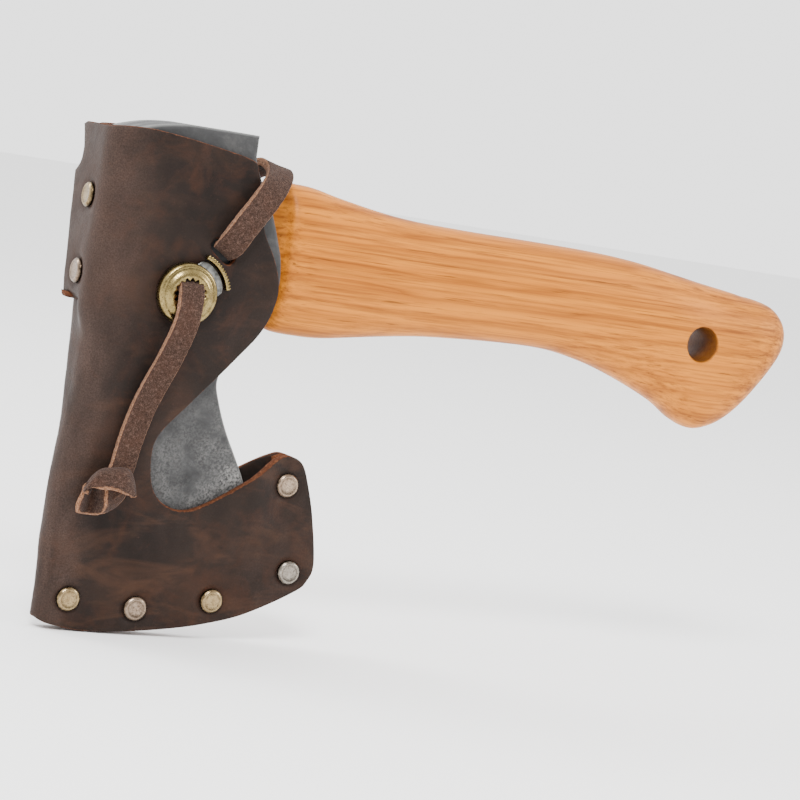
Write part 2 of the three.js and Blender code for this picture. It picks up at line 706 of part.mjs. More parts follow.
function placeRivets(name, places, flange) {
  places.forEach((spot, i) => {
    place(`${name}_${i + 1}_cap`, rivetCap(spot), "brass");
    place(`${name}_${i + 1}_post`, rivetPost(spot, flange), "brass");
  });
}

place("axe_head", axeHead(), "steel");
place("haft", haft(), "hickory");
place("haft_wedge", wedgeBlank(0).subtract(ringBlank(0.15)), "hickory");
place("ring_wedge", ringBlank(0), "steel");
place("sheath_body", sheathBody(), "leather");
place("spine_flap", spineFlap(), "leather");
place("belt_loop", beltLoop(), "leather");
place("edge_welt", edgeWelt(), "rawLeather");
placeRivets("edge_rivet", edgeRivetPlaces(), RIVET.crown);
placeRivets("spine_rivet", spineRivetPlaces(), 0.7);
placeRivets("loop_rivet", loopRivetPlaces(), 0.7);
place("lock_shell", lockShell(), "brass");
place("lock_eyelet", lockEyelet(), "brass");
place("lock_plate", lockPlate(), "plate");
place("lock_button", lockButton(), "brass");
place("lock_spring", lockSpring(), "plate");
place("thong_loop", strap(LOOP_ROUTE, 2), "suede");
place("thong_tail", strap(TAIL_ROUTE, 1), "suede");
place("thong_knot", thongKnot(), "suede");

export default hatchet;
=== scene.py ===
import bisect
import math
import random

import bmesh
import bpy
from mathutils import Matrix, Vector, noise
from mathutils.geometry import delaunay_2d_cdt
from mathutils.kdtree import KDTree


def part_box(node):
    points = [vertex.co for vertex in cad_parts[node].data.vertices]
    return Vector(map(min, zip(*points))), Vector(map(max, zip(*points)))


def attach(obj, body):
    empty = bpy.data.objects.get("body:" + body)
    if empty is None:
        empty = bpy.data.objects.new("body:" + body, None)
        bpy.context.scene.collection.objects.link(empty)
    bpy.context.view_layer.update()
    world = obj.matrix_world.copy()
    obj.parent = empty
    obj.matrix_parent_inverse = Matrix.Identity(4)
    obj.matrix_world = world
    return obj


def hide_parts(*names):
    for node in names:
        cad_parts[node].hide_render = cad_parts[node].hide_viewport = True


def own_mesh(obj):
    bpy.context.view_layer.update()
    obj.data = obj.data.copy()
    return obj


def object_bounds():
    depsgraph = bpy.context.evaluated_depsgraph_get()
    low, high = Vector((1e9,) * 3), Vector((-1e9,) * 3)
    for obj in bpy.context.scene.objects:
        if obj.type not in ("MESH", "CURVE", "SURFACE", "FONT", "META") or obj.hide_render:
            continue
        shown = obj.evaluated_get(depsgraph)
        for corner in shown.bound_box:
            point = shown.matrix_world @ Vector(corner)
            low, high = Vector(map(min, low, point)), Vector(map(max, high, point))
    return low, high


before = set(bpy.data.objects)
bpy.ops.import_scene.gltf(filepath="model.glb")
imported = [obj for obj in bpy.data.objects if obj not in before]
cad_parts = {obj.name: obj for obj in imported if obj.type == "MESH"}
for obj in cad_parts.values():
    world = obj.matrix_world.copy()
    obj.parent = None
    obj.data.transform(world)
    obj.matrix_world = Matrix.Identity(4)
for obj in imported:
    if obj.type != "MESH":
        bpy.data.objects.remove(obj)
cad_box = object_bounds()

# Lengths are in millimetres up to to_object(), which makes them metres.
MM = 0.001
LEATHER = 2.5
SLACK = 0.1  # extra room inside the leather for its waves
THONG_WIDTH = 7.0
THONG_THICK = 2.2


def box_mm(node):
    low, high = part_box(node)
    return low / MM, high / MM


SHEATH_LOW = box_mm("sheath_body")[0]
SPINE_X = SHEATH_LOW.x
FLAP_STEP = SPINE_X - box_mm("spine_flap")[0].x
PANEL_Y = SHEATH_LOW.y
LOCK = (box_mm("lock_shell")[0] + box_mm("lock_shell")[1]) / 2
LOCK_TURN = math.radians(42)
LOCK_OUT = Vector((0, -1, 0))


# ---------- numbers ----------
def table_value(table, t):
    """A table's value at t, on straight lines between its (t, value) rows."""
    if t <= table[0][0]:
        return table[0][1]
    for (t0, v0), (t1, v1) in zip(table, table[1:]):
        if t <= t1:
            return v0 + (v1 - v0) * (t - t0) / (t1 - t0)
    return table[-1][1]


def smooth_table(table, t, reach):
    """The table's value at t, rounded off over reach to each side."""
    steps = (-1, -0.5, 0, 0.5, 1)
    return sum(table_value(table, t + reach * s) for s in steps) / len(steps)


def smoothstep(t, low, high):
    s = min(max((t - low) / (high - low), 0), 1)
    return s * s * (3 - 2 * s)


def spread(a, b, steps):
    return [a + (b - a) * i / steps for i in range(steps + 1)]


def arc(radius, start, end, steps):
    """Points on an arc round (0, 0), between two angles."""
    return [(radius * math.cos(a), radius * math.sin(a)) for a in spread(start, end, steps)]


def curve_through(points, per_span):
    """Points on a smooth curve through the given ones, which are tuples or vectors."""
    given = [Vector(p) for p in points]
    line = []
    for i in range(len(given) - 1):
        before = given[max(i - 1, 0)]
        start, end = given[i], given[i + 1]
        after = given[min(i + 2, len(given) - 1)]
        leave, arrive = (end - before) / 2, (after - start) / 2
        for k in range(per_span):
            t = k / per_span
            line.append(
                (2 * start - 2 * end + leave + arrive) * t**3
                + (-3 * start + 3 * end - 2 * leave - arrive) * t**2
                + leave * t
                + start
            )
    line.append(given[-1])
    return line


def resampled(line, step):
    """The line again, with points about a step apart. It keeps both ends."""
    lengths = [0.0]
    for a, b in zip(line, line[1:]):
        lengths.append(lengths[-1] + (b - a).length)
    count = max(1, round(lengths[-1] / step))
    points = []
    for target in spread(0, lengths[-1], count):
        i = min(max(bisect.bisect_right(lengths, target) - 1, 0), len(line) - 2)
        span = lengths[i + 1] - lengths[i]
        points.append(line[i].lerp(line[i + 1], (target - lengths[i]) / span if span else 0))
    return points


# ---------- camera ----------
def add_camera():
    azimuth = math.radians(-28)
    elevation = math.radians(5)
    roll = math.radians(9.6)
    distance = 0.8
    target = Vector((-0.012, 0, 0.076))
    back = Vector(
        (
            math.sin(azimuth) * math.cos(elevation),
            -math.cos(azimuth) * math.cos(elevation),
            math.sin(elevation),
        )
    )
    level = Vector((math.cos(azimuth), math.sin(azimuth), 0))
    upright = back.cross(level)
    right = math.cos(roll) * level + math.sin(roll) * upright
    up = math.cos(roll) * upright - math.sin(roll) * level
    data = bpy.data.cameras.new("camera")
    data.lens = 120.6
    camera = bpy.data.objects.new("camera", data)
    bpy.context.scene.collection.objects.link(camera)
    turn = Matrix((right, up, back)).transposed().to_4x4()
    camera.matrix_world = Matrix.Translation(target + distance * back) @ turn
    bpy.context.scene.camera = camera


add_camera()


# ---------- meshes ----------
def to_object(name, verts, faces, marks=None):
    """A smooth-shaded object from points in millimetres. marks holds point attributes by name."""
    mesh = bpy.data.meshes.new(name)
    mesh.from_pydata([Vector(v) * MM for v in verts], [], faces)
    for mark, values in (marks or {}).items():
        layer = mesh.attributes.new(mark, "FLOAT", "POINT")
        layer.data.foreach_set("value", values)
    tidy = bmesh.new()
    tidy.from_mesh(mesh)
    bmesh.ops.recalc_face_normals(tidy, faces=tidy.faces)
    tidy.to_mesh(mesh)
    tidy.free()
    mesh.shade_smooth()
    obj = bpy.data.objects.new(name, mesh)
    bpy.context.scene.collection.objects.link(obj)
    return obj


def grid_faces(rows, count, closed=True, capped=True):
    """Faces between rows of count points each, with both end rows filled in."""
    faces = []
    across = count if closed else count - 1
    for i in range(rows - 1):
        for j in range(across):
            a = i * count + j
            b = i * count + (j + 1) % count
            faces.append((a, b, b + count, a + count))
    if capped:
        faces.append(tuple(reversed(range(count))))
        faces.append(tuple(range((rows - 1) * count, rows * count)))
    return faces


def joined(name, parts):
    """One object from (verts, faces, marks) triples, which share their marks' names."""
    verts, faces = [], []
    marks = {}
    for part_verts, part_faces, part_marks in parts:
        base = len(verts)
        verts += part_verts
        faces += [tuple(base + i for i in face) for face in part_faces]
        for mark, values in part_marks.items():
            marks.setdefault(mark, []).extend(values)
    return to_object(name, verts, faces, marks)


def revolved(profile, segments, place, ripple=None):
    """Verts, faces and marks of a turned form. The profile holds (radius, height) rows round local
    Z, with a third number for how dark it is there: patina in its hollows, and painted shade on its sides
    and bevels."""
    verts, grime_and_shade = [], []
    for i in range(segments):
        angle = 2 * math.pi * i / segments
        for radius, height, *dirt_and_shade in profile:
            r = radius + (ripple(angle, radius, height) if ripple else 0)
            verts.append(place @ Vector((r * math.cos(angle), r * math.sin(angle), height)))
            grime_and_shade.append(dirt_and_shade[0] if dirt_and_shade else 0.0)
    count = len(profile)
    faces = []
    for i in range(segments):
        for j in range(count - 1):
            a = i * count + j
            b = (i + 1) % segments * count + j
            faces.append((a, b, b + 1, a + 1))
    return verts, faces, {"grime_and_shade": grime_and_shade}


def facing(origin, out):
    """A matrix whose local Z looks along out from the origin."""
    turn = Vector((0, 0, 1)).rotation_difference(out)
    return Matrix.Translation(origin) @ turn.to_matrix().to_4x4()


def ride_as(obj, body, slot, material, *nodes):
    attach(obj, body)
    if nodes:
        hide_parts(*nodes)
    obj.data.materials.clear()
    obj.data.materials.append(material)
    return obj


# ---------- materials ----------
def new_material(name, metallic=0.0, roughness=0.6, specular=0.5):
    material = bpy.data.materials.new(name)
    material.use_nodes = True
    shader = material.node_tree.nodes["Principled BSDF"]
    shader.inputs["Metallic"].default_value = metallic
    shader.inputs["Roughness"].default_value = roughness
    shader.inputs["Specular IOR Level"].default_value = specular
    return material, material.node_tree, shader


RANGE_KEYS = ("From Min", "From Max", "To Min", "To Max")


class Nodes:
    """A new material, and short names for the few node kinds that the materials use."""

    def __init__(self, name, metallic=0.0, roughness=0.6, specular=0.5):
        self.material, self.tree, self.shader = new_material(name, metallic, roughness, specular)
        self.place = self.add("ShaderNodeTexCoord").outputs["Object"]

    def finish(self, tone, normal, roughness=None):
        """Links what the shader takes, and gives the material."""
        self.link(tone, self.shader.inputs["Base Color"])
        self.link(normal, self.shader.inputs["Normal"])
        if roughness is not None:
            self.link(roughness, self.shader.inputs["Roughness"])
        return self.material

    def add(self, kind, **settings):
        node = self.tree.nodes.new(kind)
        for key, value in settings.items():
            setattr(node, key, value)
        return node

    def link(self, source, socket):
        self.tree.links.new(source, socket)

    def mapped(self, scale, rotation=(0, 0, 0)):
        node = self.add("ShaderNodeMapping")
        node.inputs["Scale"].default_value = scale
        node.inputs["Rotation"].default_value = rotation
        self.link(self.place, node.inputs["Vector"])
        return node.outputs["Vector"]

    def noise(self, scale, detail=3.0, rough=0.55, vector=None, distortion=0.0):
        node = self.add("ShaderNodeTexNoise")
        node.inputs["Scale"].default_value = scale
        node.inputs["Detail"].default_value = detail
        node.inputs["Roughness"].default_value = rough
        node.inputs["Distortion"].default_value = distortion
        self.link(vector or self.place, node.inputs["Vector"])
        return node.outputs["Fac"]

    def voronoi(self, scale, feature="F1", vector=None):
        node = self.add("ShaderNodeTexVoronoi", feature=feature)
        node.inputs["Scale"].default_value = scale
        self.link(vector or self.place, node.inputs["Vector"])
        return node.outputs["Distance"]

    def ramp(self, value, *stops):
        node = self.add("ShaderNodeValToRGB")
        elements = node.color_ramp.elements
        while len(elements) < len(stops):
            elements.new(0.5)
        for element, (position, colour) in zip(elements, stops):
            element.position = position
            element.color = (*colour, 1) if len(colour) == 3 else colour
        self.link(value, node.inputs["Fac"])
        return node.outputs["Color"]

    def level(self, value, low, high, start=0.0, end=1.0):
        node = self.add("ShaderNodeMapRange", clamp=True)
        for key, number in zip(RANGE_KEYS, (low, high, start, end)):
            node.inputs[key].default_value = number
        self.link(value, node.inputs["Value"])
        return node.outputs["Result"]

    def mix(self, factor, a, b, blend="MIX"):
        node = self.add("ShaderNodeMix", data_type="RGBA", blend_type=blend)
        sockets = (node.inputs["Factor"], node.inputs[6], node.inputs[7])
        for value, socket in zip((factor, a, b), sockets):
            if isinstance(value, bpy.types.NodeSocket):
                self.link(value, socket)
            elif isinstance(value, tuple):
                socket.default_value = (*value, 1)
            elif socket.type == "RGBA":
                socket.default_value = (value, value, value, 1)
            else:
                socket.default_value = value
        return node.outputs[2]

    def math(self, operation, a, b):
        node = self.add("ShaderNodeMath", operation=operation)
        for value, socket in ((a, node.inputs[0]), (b, node.inputs[1])):
            if isinstance(value, bpy.types.NodeSocket):
                self.link(value, socket)
            else:
                socket.default_value = value
        return node.outputs["Value"]

    def times(self, a, b):
        return self.math("MULTIPLY", a, b)

    def along(self, axis):
        """The place along one of the object's axes, in metres."""
        node = self.add("ShaderNodeSeparateXYZ")
        self.link(self.place, node.inputs["Vector"])
        return node.outputs[axis]

    def mark(self, name):
        return self.add("ShaderNodeAttribute", attribute_name=name).outputs["Fac"]

    def bump(self, height, strength, depth_mm, normal=None):
        node = self.add("ShaderNodeBump")
        node.inputs["Strength"].default_value = strength
        node.inputs["Distance"].default_value = depth_mm * MM
        self.link(height, node.inputs["Height"])
        if normal:
            self.link(normal, node.inputs["Normal"])
        return node.outputs["Normal"]


def leather_material():
    n = Nodes("sheath_leather", roughness=0.6, specular=0.1)
    clouds = n.noise(38, 4, 0.6)
    dark, middle, light = (0.0068, 0.0046, 0.0038), (0.012, 0.0078, 0.0061), (0.0265, 0.0135, 0.0088)
    tone = n.ramp(clouds, (0.3, dark), (0.52, middle), (0.74, light))
    patches = n.noise(90, 5, 0.65, distortion=0.6)
    tone = n.mix(n.level(patches, 0.5, 0.72, 0, 0.6), tone, (0.038, 0.0145, 0.0075))
    # Slanting streaks where the leather was bent, mostly on its lower half.
    streaks = n.noise(34, 4, 0.6, n.mapped((1.0, 1.0, 3.0), (0, math.radians(38), 0)), 0.8)
    lower = n.level(n.along(2), 0.06, 0.1, 1, 0.3)
    tone = n.mix(n.times(n.level(streaks, 0.5, 0.68, 0, 0.65), lower), tone, (0.052, 0.024, 0.0135))
    grain = n.noise(2600, 3, 0.6)
    rubbed = n.mix(n.level(grain, 0.35, 0.7), (0.031, 0.0185, 0.0145), (0.066, 0.041, 0.032))
    tone = n.mix(n.level(n.mark("wear"), 0, 1, 0, 0.85), tone, rubbed)
    fine = n.level(n.noise(900, 4, 0.7), 0.62, 0.8, 0, 0.35)
    tone = n.mix(fine, tone, (0.07, 0.034, 0.022))
    specks = n.level(n.voronoi(340), 0.0, 0.045, 1, 0)
    few = n.level(n.noise(160, 1), 0.66, 0.7)
    tone = n.mix(n.times(specks, few), tone, (0.4, 0.26, 0.17))
    # The cut edges show raw fibres, and their border is ragged.
    cut = n.mark("cut")
    fibres = n.noise(1500, 4, 0.8)
    dark, middle, light = (0.034, 0.0115, 0.006), (0.09, 0.031, 0.014), (0.2, 0.085, 0.04)
    raw = n.ramp(fibres, (0.3, dark), (0.55, middle), (0.75, light))
    ragged = n.math("ADD", cut, n.level(n.noise(700, 3), 0.3, 0.7, -0.22, 0.22))
    tone = n.mix(n.level(ragged, 0.62, 0.85), tone, raw)
    gloss = n.level(n.noise(60, 3), 0.3, 0.7, 0.42, 0.62)
    skin_pores = n.bump(n.voronoi(1500), 0.35, 0.12)
    creases = n.bump(n.noise(420, 4, 0.6), 0.4, 0.25, skin_pores)
    normal = n.bump(fibres, 0.35, 0.2, creases)
    return n.finish(tone, normal, n.mix(n.level(cut, 0.5, 0.8), gloss, 0.95))


def thong_material():
    n = Nodes("thong_leather", roughness=0.95, specular=0.05)
    nap = n.noise(4200, 4, 0.7)
    dark, middle, light = (0.012, 0.0075, 0.006), (0.038, 0.022, 0.0165), (0.12, 0.068, 0.05)
    face = n.ramp(nap, (0.3, dark), (0.5, middle), (0.7, light))
    face = n.mix(n.level(n.noise(170, 4, 0.65), 0.45, 0.7, 0, 0.4), face, (0.06, 0.027, 0.0175))
    mottle = n.noise(1150, 4, 0.8)
    face = n.mix(n.level(mottle, 0.54, 0.66, 0, 0.7), face, (0.012, 0.0072, 0.0058))
    face = n.mix(n.level(mottle, 0.46, 0.34, 0, 0.6), face, (0.13, 0.078, 0.058))
    fibres = n.noise(2400, 4, 0.85)
    dark, middle, light = (0.06, 0.025, 0.014), (0.2, 0.095, 0.052), (0.46, 0.27, 0.17)
    raw = n.ramp(fibres, (0.3, dark), (0.5, middle), (0.7, light))
    cut = n.math("ADD", n.mark("cut"), n.level(n.noise(1100, 3), 0.3, 0.7, -0.2, 0.2))
    n.shader.inputs["Sheen Weight"].default_value = 0.06
    n.shader.inputs["Sheen Roughness"].default_value = 0.4
    normal = n.bump(fibres, 0.7, 0.3, n.bump(nap, 0.6, 0.3))
    return n.finish(n.mix(n.level(cut, 0.42, 0.62), face, raw), normal)


def raw_material():
    n = Nodes("raw_leather", roughness=0.95, specular=0.03)
    fibres = n.noise(1900, 4, 0.8)
    dark, middle, light = (0.04, 0.013, 0.006), (0.1, 0.034, 0.015), (0.2, 0.085, 0.04)
    tone = n.ramp(fibres, (0.3, dark), (0.52, middle), (0.75, light))
    return n.finish(tone, n.bump(fibres, 0.8, 0.3))


def brass_material(name, light, dark, patina, roughness):
    n = Nodes(name, metallic=1.0, roughness=roughness)
    speckle = n.noise(2300, 4, 0.75)
    tone = n.ramp(n.noise(420, 4, 0.65), (0.32, dark), (0.62, light))
    tone = n.mix(n.level(speckle, 0.52, 0.7, 0, 0.9), tone, patina)
    # The grime_and_shade mark darkens the rivets' and lock's sides, bevels and hollows: partly patina,
    # partly painted shade.
    dirty_and_shaded = n.math("ADD", n.mark("grime_and_shade"), n.level(n.noise(1300, 3), 0.3, 0.7, -0.2, 0.2))
    tone = n.mix(n.level(dirty_and_shaded, 0.2, 0.9, 0, 0.92), tone, (0.022, 0.014, 0.008))
    dull = n.level(speckle, 0.4, 0.7, roughness - 0.06, roughness + 0.3)
    return n.finish(tone, n.bump(n.noise(900, 3), 0.25, 0.1, n.bump(speckle, 0.3, 0.05)), dull)


def steel_material():
    n = Nodes("forged_steel", metallic=0.4, roughness=0.55, specular=0.25)
    scale = n.noise(130, 6, 0.7, distortion=0.4)
    fine = n.noise(1500, 4, 0.7)
    dark, middle, light = (0.026, 0.0258, 0.0262), (0.043, 0.0427, 0.043), (0.078, 0.0765, 0.074)
    tone = n.ramp(scale, (0.3, dark), (0.55, middle), (0.78, light))
    # The forge scale is rubbed through near the edge, and the corners are worn bright.
    heel = n.level(n.along(0), -0.078, -0.062, 0.25, 1)
    low = n.times(n.level(n.along(2), 0.035, 0.08, 1, 0), heel)
    bare = n.times(n.level(n.noise(110, 4), 0.36, 0.6), n.level(fine, 0.4, 0.6))
    tone = n.mix(n.times(bare, low), tone, (0.32, 0.31, 0.295))
    tone = n.mix(n.level(n.mark("ground"), 0.2, 0.8), tone, (0.4, 0.4, 0.4))
    cut = n.mark("cut")
    corner = n.times(n.level(cut, 0.55, 1.0, 0, 0.5), n.level(cut, 1.05, 1.3, 1, 0))
    tone = n.mix(corner, tone, (0.26, 0.26, 0.25))
    hammered = n.bump(n.noise(95, 3), 0.6, 0.8)
    normal = n.bump(n.voronoi(520), 0.25, 0.2, n.bump(fine, 0.3, 0.15, hammered))
    return n.finish(tone, normal, n.level(scale, 0.3, 0.7, 0.62, 0.4))


def plate_material():
    n = Nodes("lock_steel", metallic=1.0, roughness=0.3)
    tone = n.ramp(n.noise(800, 3), (0.35, (0.07, 0.07, 0.066)), (0.65, (0.22, 0.22, 0.21)))
    return n.finish(tone, n.bump(n.noise(1200, 3), 0.3, 0.08))


# The haft's hanging hole: x, z and radius.
HANG_HOLE = (84.4, 105.6, 5.3)
LATE_WOOD = (0.19, 0.046, 0.003)


def hickory_material():
    n = Nodes("hickory", roughness=0.45, specular=0.12)
    rings = n.add("ShaderNodeTexWave", wave_type="BANDS", bands_direction="Z", wave_profile="SAW")
    for key, number in (("Scale", 58), ("Distortion", 9.0), ("Detail", 3.0), ("Detail Scale", 1.4)):
        rings.inputs[key].default_value = number
    n.link(n.mapped((0.10, 0.6, 1.0), (0, math.radians(3.5), 0)), rings.inputs["Vector"])
    tone = n.ramp(
        rings.outputs["Fac"],
        (0.0, LATE_WOOD),
        (0.14, (0.45, 0.138, 0.0095)),
        (0.6, (0.53, 0.178, 0.013)),
        (1.0, (0.29, 0.077, 0.005)),
    )
    bend = n.noise(6, 2, 0.5, n.mapped((1.0, 4.0, 4.0)))
    tone = n.mix(n.level(bend, 0.35, 0.65, 0, 0.5), tone, (0.6, 0.206, 0.0165))
    fibre = n.noise(900, 5, 0.7, n.mapped((0.014, 1.0, 1.0), (0, math.radians(2), 0)))
    tone = n.mix(n.level(fibre, 0.44, 0.68, 0, 0.8), tone, (0.17, 0.042, 0.0045))
    pores = n.noise(1500, 3, 0.6, n.mapped((0.03, 1.0, 1.0), (0, math.radians(2), 0)))
    tone = n.mix(n.level(pores, 0.62, 0.7, 0, 0.6), tone, (0.055, 0.0125, 0.002))
    # The wall of the hanging hole is end grain, and darker.
    x, z, radius = (number * MM for number in HANG_HOLE)
    across = n.math("SUBTRACT", n.along(0), x)
    above = n.math("SUBTRACT", n.along(2), z)
    from_axis = n.math("POWER", n.math("ADD", n.times(across, across), n.times(above, above)), 0.5)
    in_hole = n.level(from_axis, radius * 1.02, radius * 1.1, 0.85, 0)
    tone = n.mix(in_hole, tone, (0.075, 0.026, 0.008))
    butt = n.level(n.along(0), 0.088, 0.12, 0, 0.5)
    tone = n.mix(n.times(butt, n.level(fibre, 0.35, 0.65)), tone, (0.1, 0.028, 0.006))
    normal = n.bump(pores, 0.3, 0.12, n.bump(fibre, 0.2, 0.1))
    return n.finish(tone, normal, n.level(fibre, 0.3, 0.7, 0.36, 0.5))


LEATHER_LOOK = leather_material()
THONG_LOOK = thong_material()
RAW_LOOK = raw_material()
STEEL_LOOK = steel_material()
HICKORY_LOOK = hickory_material()
PLATE_LOOK = plate_material()
BRASS_LOOK = brass_material(
    "lock_brass", (0.29, 0.22, 0.09), (0.17, 0.12, 0.045), (0.055, 0.036, 0.016), 0.2
)
RIVET_LOOKS = [
    brass_material("rivet_golden", (0.36, 0.265, 0.14), (0.22, 0.15, 0.075), (0.07, 0.045, 0.027), 0.2),
    brass_material("rivet_pewter", (0.32, 0.24, 0.175), (0.2, 0.14, 0.1), (0.07, 0.046, 0.032), 0.22),
    brass_material("rivet_grey", (0.29, 0.26, 0.22), (0.17, 0.145, 0.12), (0.065, 0.052, 0.043), 0.2),
]


# ---------- straps ----------
def strap_parts(route, width, thick, taper=(1.0, 1.0), seed=0, per_span=10):
    """A flat strap with worn corners, from (point, outward direction) rows. It gives verts, faces
    and marks. taper is how narrow its two ends are."""
    centres = curve_through([Vector(p) for p, _ in route], per_span)
    looks = curve_through([Vector(o) for _, o in route], per_span)
    verts, cuts = [], []
    wide = spread(-1, 1, 12)
    edge = [(0.985, 0.86, 1.0), (1.0, 0.5, 0.75), (1.0, 0.0, 0.6), (1.0, -0.5, 0.75), (0.985, -0.86, 1.0)]
    section = []
    for side, face_mark in ((1, 0.0), (-1, 0.15)):
        section += [(side * a * 0.94, side, face_mark) for a in wide]
        section += [(side * a, side * b, mark) for a, b, mark in edge]
    travelled = [0.0]
    for a, b in zip(centres, centres[1:]):
        travelled.append(travelled[-1] + (b - a).length)
    for i, (centre, look) in enumerate(zip(centres, looks)):
        along = (centres[min(i + 1, len(centres) - 1)] - centres[max(i - 1, 0)]).normalized()
        across = look.cross(along).normalized()
        out = along.cross(across).normalized()
        s = travelled[i]
        ends = 1.0
        for near_end, narrow in zip((s, travelled[-1] - s), taper):
            ends *= smoothstep(near_end, 0, 4) * (1 - narrow) + narrow
        for a, b, mark in section:
            rough = noise.noise(Vector((s * 0.9, a * 2, seed + b))) * 0.13
            rough += noise.noise(Vector((s * 2.6, a, seed))) * 0.07
            half = width / 2 * ends + rough * abs(a) ** 4
            cup = 0.14 * (a * a - 0.4)
            lumps = 0.07 * noise.noise(Vector((s * 0.5, a * 1.5, seed + b)))
            verts.append(centre + across * (a * half) + out * (b * thick / 2 + cup + lumps))
            cuts.append(mark + (0.35 if i in (0, len(centres) - 1) else 0))
    return verts, grid_faces(len(centres), len(section)), {"cut": cuts}


# ---------- thong's free end ----------
# The free end hangs from the lock over the panel, and ends in its knot.
TAIL_ROUTE = [
    ((-91.9, -18, 101), (0, -1, 0.25)),
    ((-91.95, -18.5, 98.9), (0, -1, 0.25)),
    ((-92.15, -19.3, 96.6), (0, -1, 0.2)),
    ((-92.5, -19.9, 94), (0, -1, 0.1)),
    ((-93, -19.8, 91), (0, -1, 0)),
    ((-93.6, -19.1, 87.6), (0, -1, 0.2)),
    ((-94.2, -18.1, 84.4), (0, -1, 0.3)),
    ((-94.9, -17, 81), (0, -1, 0.3)),
    ((-95.7, -15.8, 77.6), (0, -1, 0.3)),
    ((-96.6, -14.7, 74.2), (0, -1, 0.3)),
    ((-97.5, -13.75, 70.8), (0, -1, 0.2)),
    ((-98.4, -13, 67.4), (0, -1, 0.2)),
    ((-99.1, -12.45, 64), (0, -1, 0.15)),
    ((-99.8, -12.05, 60.5), (0, -1, 0.1)),
    ((-100.4, -11.8, 57), (0, -1, 0.05)),
    ((-101, -11.75, 53.4), (0, -1, 0)),
    ((-101.5, -11.9, 49.8), (0, -1, 0)),
]
# Where it comes out of the lock's hole, over the lower lip.
THROAT_ROUTE = [
    ((-91.9, -11.6, 103.4), (0, -0.35, 1)),
    ((-91.9, -14.6, 103.2), (0, -0.5, 1)),
    ((-91.9, -16.8, 102.3), (0, -0.9, 0.75)),
    ((-91.9, -18.05, 100.7), (0, -1, 0.4)),
    ((-91.95, -18.6, 98.9), (0, -1, 0.25)),
    ((-92.1, -19.1, 97.2), (0, -1, 0.2)),
    ((-92.3, -19.5, 95.6), (0, -1, 0.15)),
]


def build_tail():
    strap = strap_parts(TAIL_ROUTE, THONG_WIDTH, THONG_THICK, (0.9, 1.0), 9, 6)
    tail = joined("thong_tail_leather", [strap])
    ride_as(tail, "sheath", "thong_leather", THONG_LOOK, "thong_tail")
    # The throat's strap is a little fuller than the tail's, so that no face of the two coincides.
    strap = strap_parts(THROAT_ROUTE, THONG_WIDTH + 0.1, THONG_THICK + 0.15, (0.8, 0.98), 9, 6)
    throat = joined("thong_throat_leather", [strap])
    ride_as(throat, "sheath", "thong_leather", THONG_LOOK)


def bent_sheet(rows, per_span, thick, marked=()):
    """A sheet through rows of points, bent both ways, with its cut edges marked. It is thickened
    to the inside. marked holds how far along the rows, from 0 to 1, the sheet shows a cut too."""
    across = [curve_through(row, per_span) for row in rows]
    columns = [curve_through(list(column), per_span) for column in zip(*across)]
    grid = [list(row) for row in zip(*columns)]
    height, count = len(grid), len(grid[0])
    outer, inner, rim = [], [], []
    for i in range(height):
        for j in range(count):
            along = grid[i][min(j + 1, count - 1)] - grid[i][max(j - 1, 0)]
            down = grid[min(i + 1, height - 1)][j] - grid[max(i - 1, 0)][j]
            out = down.cross(along).normalized()
            edge = min(i, j, height - 1 - i, count - 1 - j)
            round_off = 0.32 * max(0, 1 - edge / 1.5)
            point = grid[i][j]
            rough = 0.07 * noise.noise(point * 1.1) + 0.1 * noise.noise(point * 0.4)
            outer.append(point + out * (rough - round_off))
            inner.append(point - out * (thick - round_off + rough))
            near = min((abs(j / (count - 1) - mark) for mark in marked), default=1)
            low = (1.0, 0.8, 0.45)[height - 1 - i] if i > height - 4 else 0.0
            rim.append(max(0.85 if edge == 0 else low, 1 - near / 0.035 * 0.5))
    verts = outer + inner
    faces, half = [], height * count
    for i in range(height - 1):
        for j in range(count - 1):
            a = i * count + j
            faces.append((a, a + 1, a + count + 1, a + count))
            faces.append((half + a, half + a + count, half + a + count + 1, half + a + 1))
    border = list(range(count - 1)) + [i * count + count - 1 for i in range(height - 1)]
    border += [half - 1 - j for j in range(count - 1)]
    border += [(height - 1 - i) * count for i in range(height - 1)]
    base = len(verts)
    for a in border:
        middle = (outer[a] + inner[a]) / 2
        verts.append(middle + Vector((0.1, 0, 0.1)) * noise.noise(middle * 2.4))
    for k, a in enumerate(border):
        b = border[(k + 1) % len(border)]
        m, n = base + k, base + (k + 1) % len(border)
        faces.append((a, m, n, b))
        faces.append((m, half + a, half + b, n))
    return verts, faces, {"cut": rim + rim + [1.0] * len(border)}


# The knot's outer wrap, from where it lies on the panel over the tail to its cut lower edge, and
# the short end under it, which curls like a gutter and then turns back to the panel.
KNOT_WRAP = [
    [(-111, -9.8, 40.5), (-109.5, -9.8, 43.5), (-106.5, -9.8, 46)]
    + [(-102.5, -9.8, 47), (-98.5, -9.8, 47), (-95.5, -10, 41)],
    [(-112.5, -12.6, 41), (-111.5, -13.2, 44.5), (-109, -13.8, 48)]
    + [(-105, -14, 49), (-99.5, -13.6, 48.5), (-96, -12.6, 41.5)],
    [(-113.5, -15, 41.5), (-113, -16.8, 44), (-110, -17.8, 47.5)]
    + [(-106, -18, 48), (-101, -17, 47.5), (-97, -15, 41.5)],
    [(-113.5, -16.2, 41.5), (-113, -18, 43.5), (-110, -19, 45.5)]
    + [(-106, -19, 46), (-101.5, -18, 44.5), (-97.5, -15.6, 41.5)],
    [(-113, -15.8, 41), (-112, -17.6, 43), (-109.5, -18.6, 43)]
    + [(-105.5, -18.4, 43), (-101.5, -17.2, 42), (-97.5, -15, 41)],
]
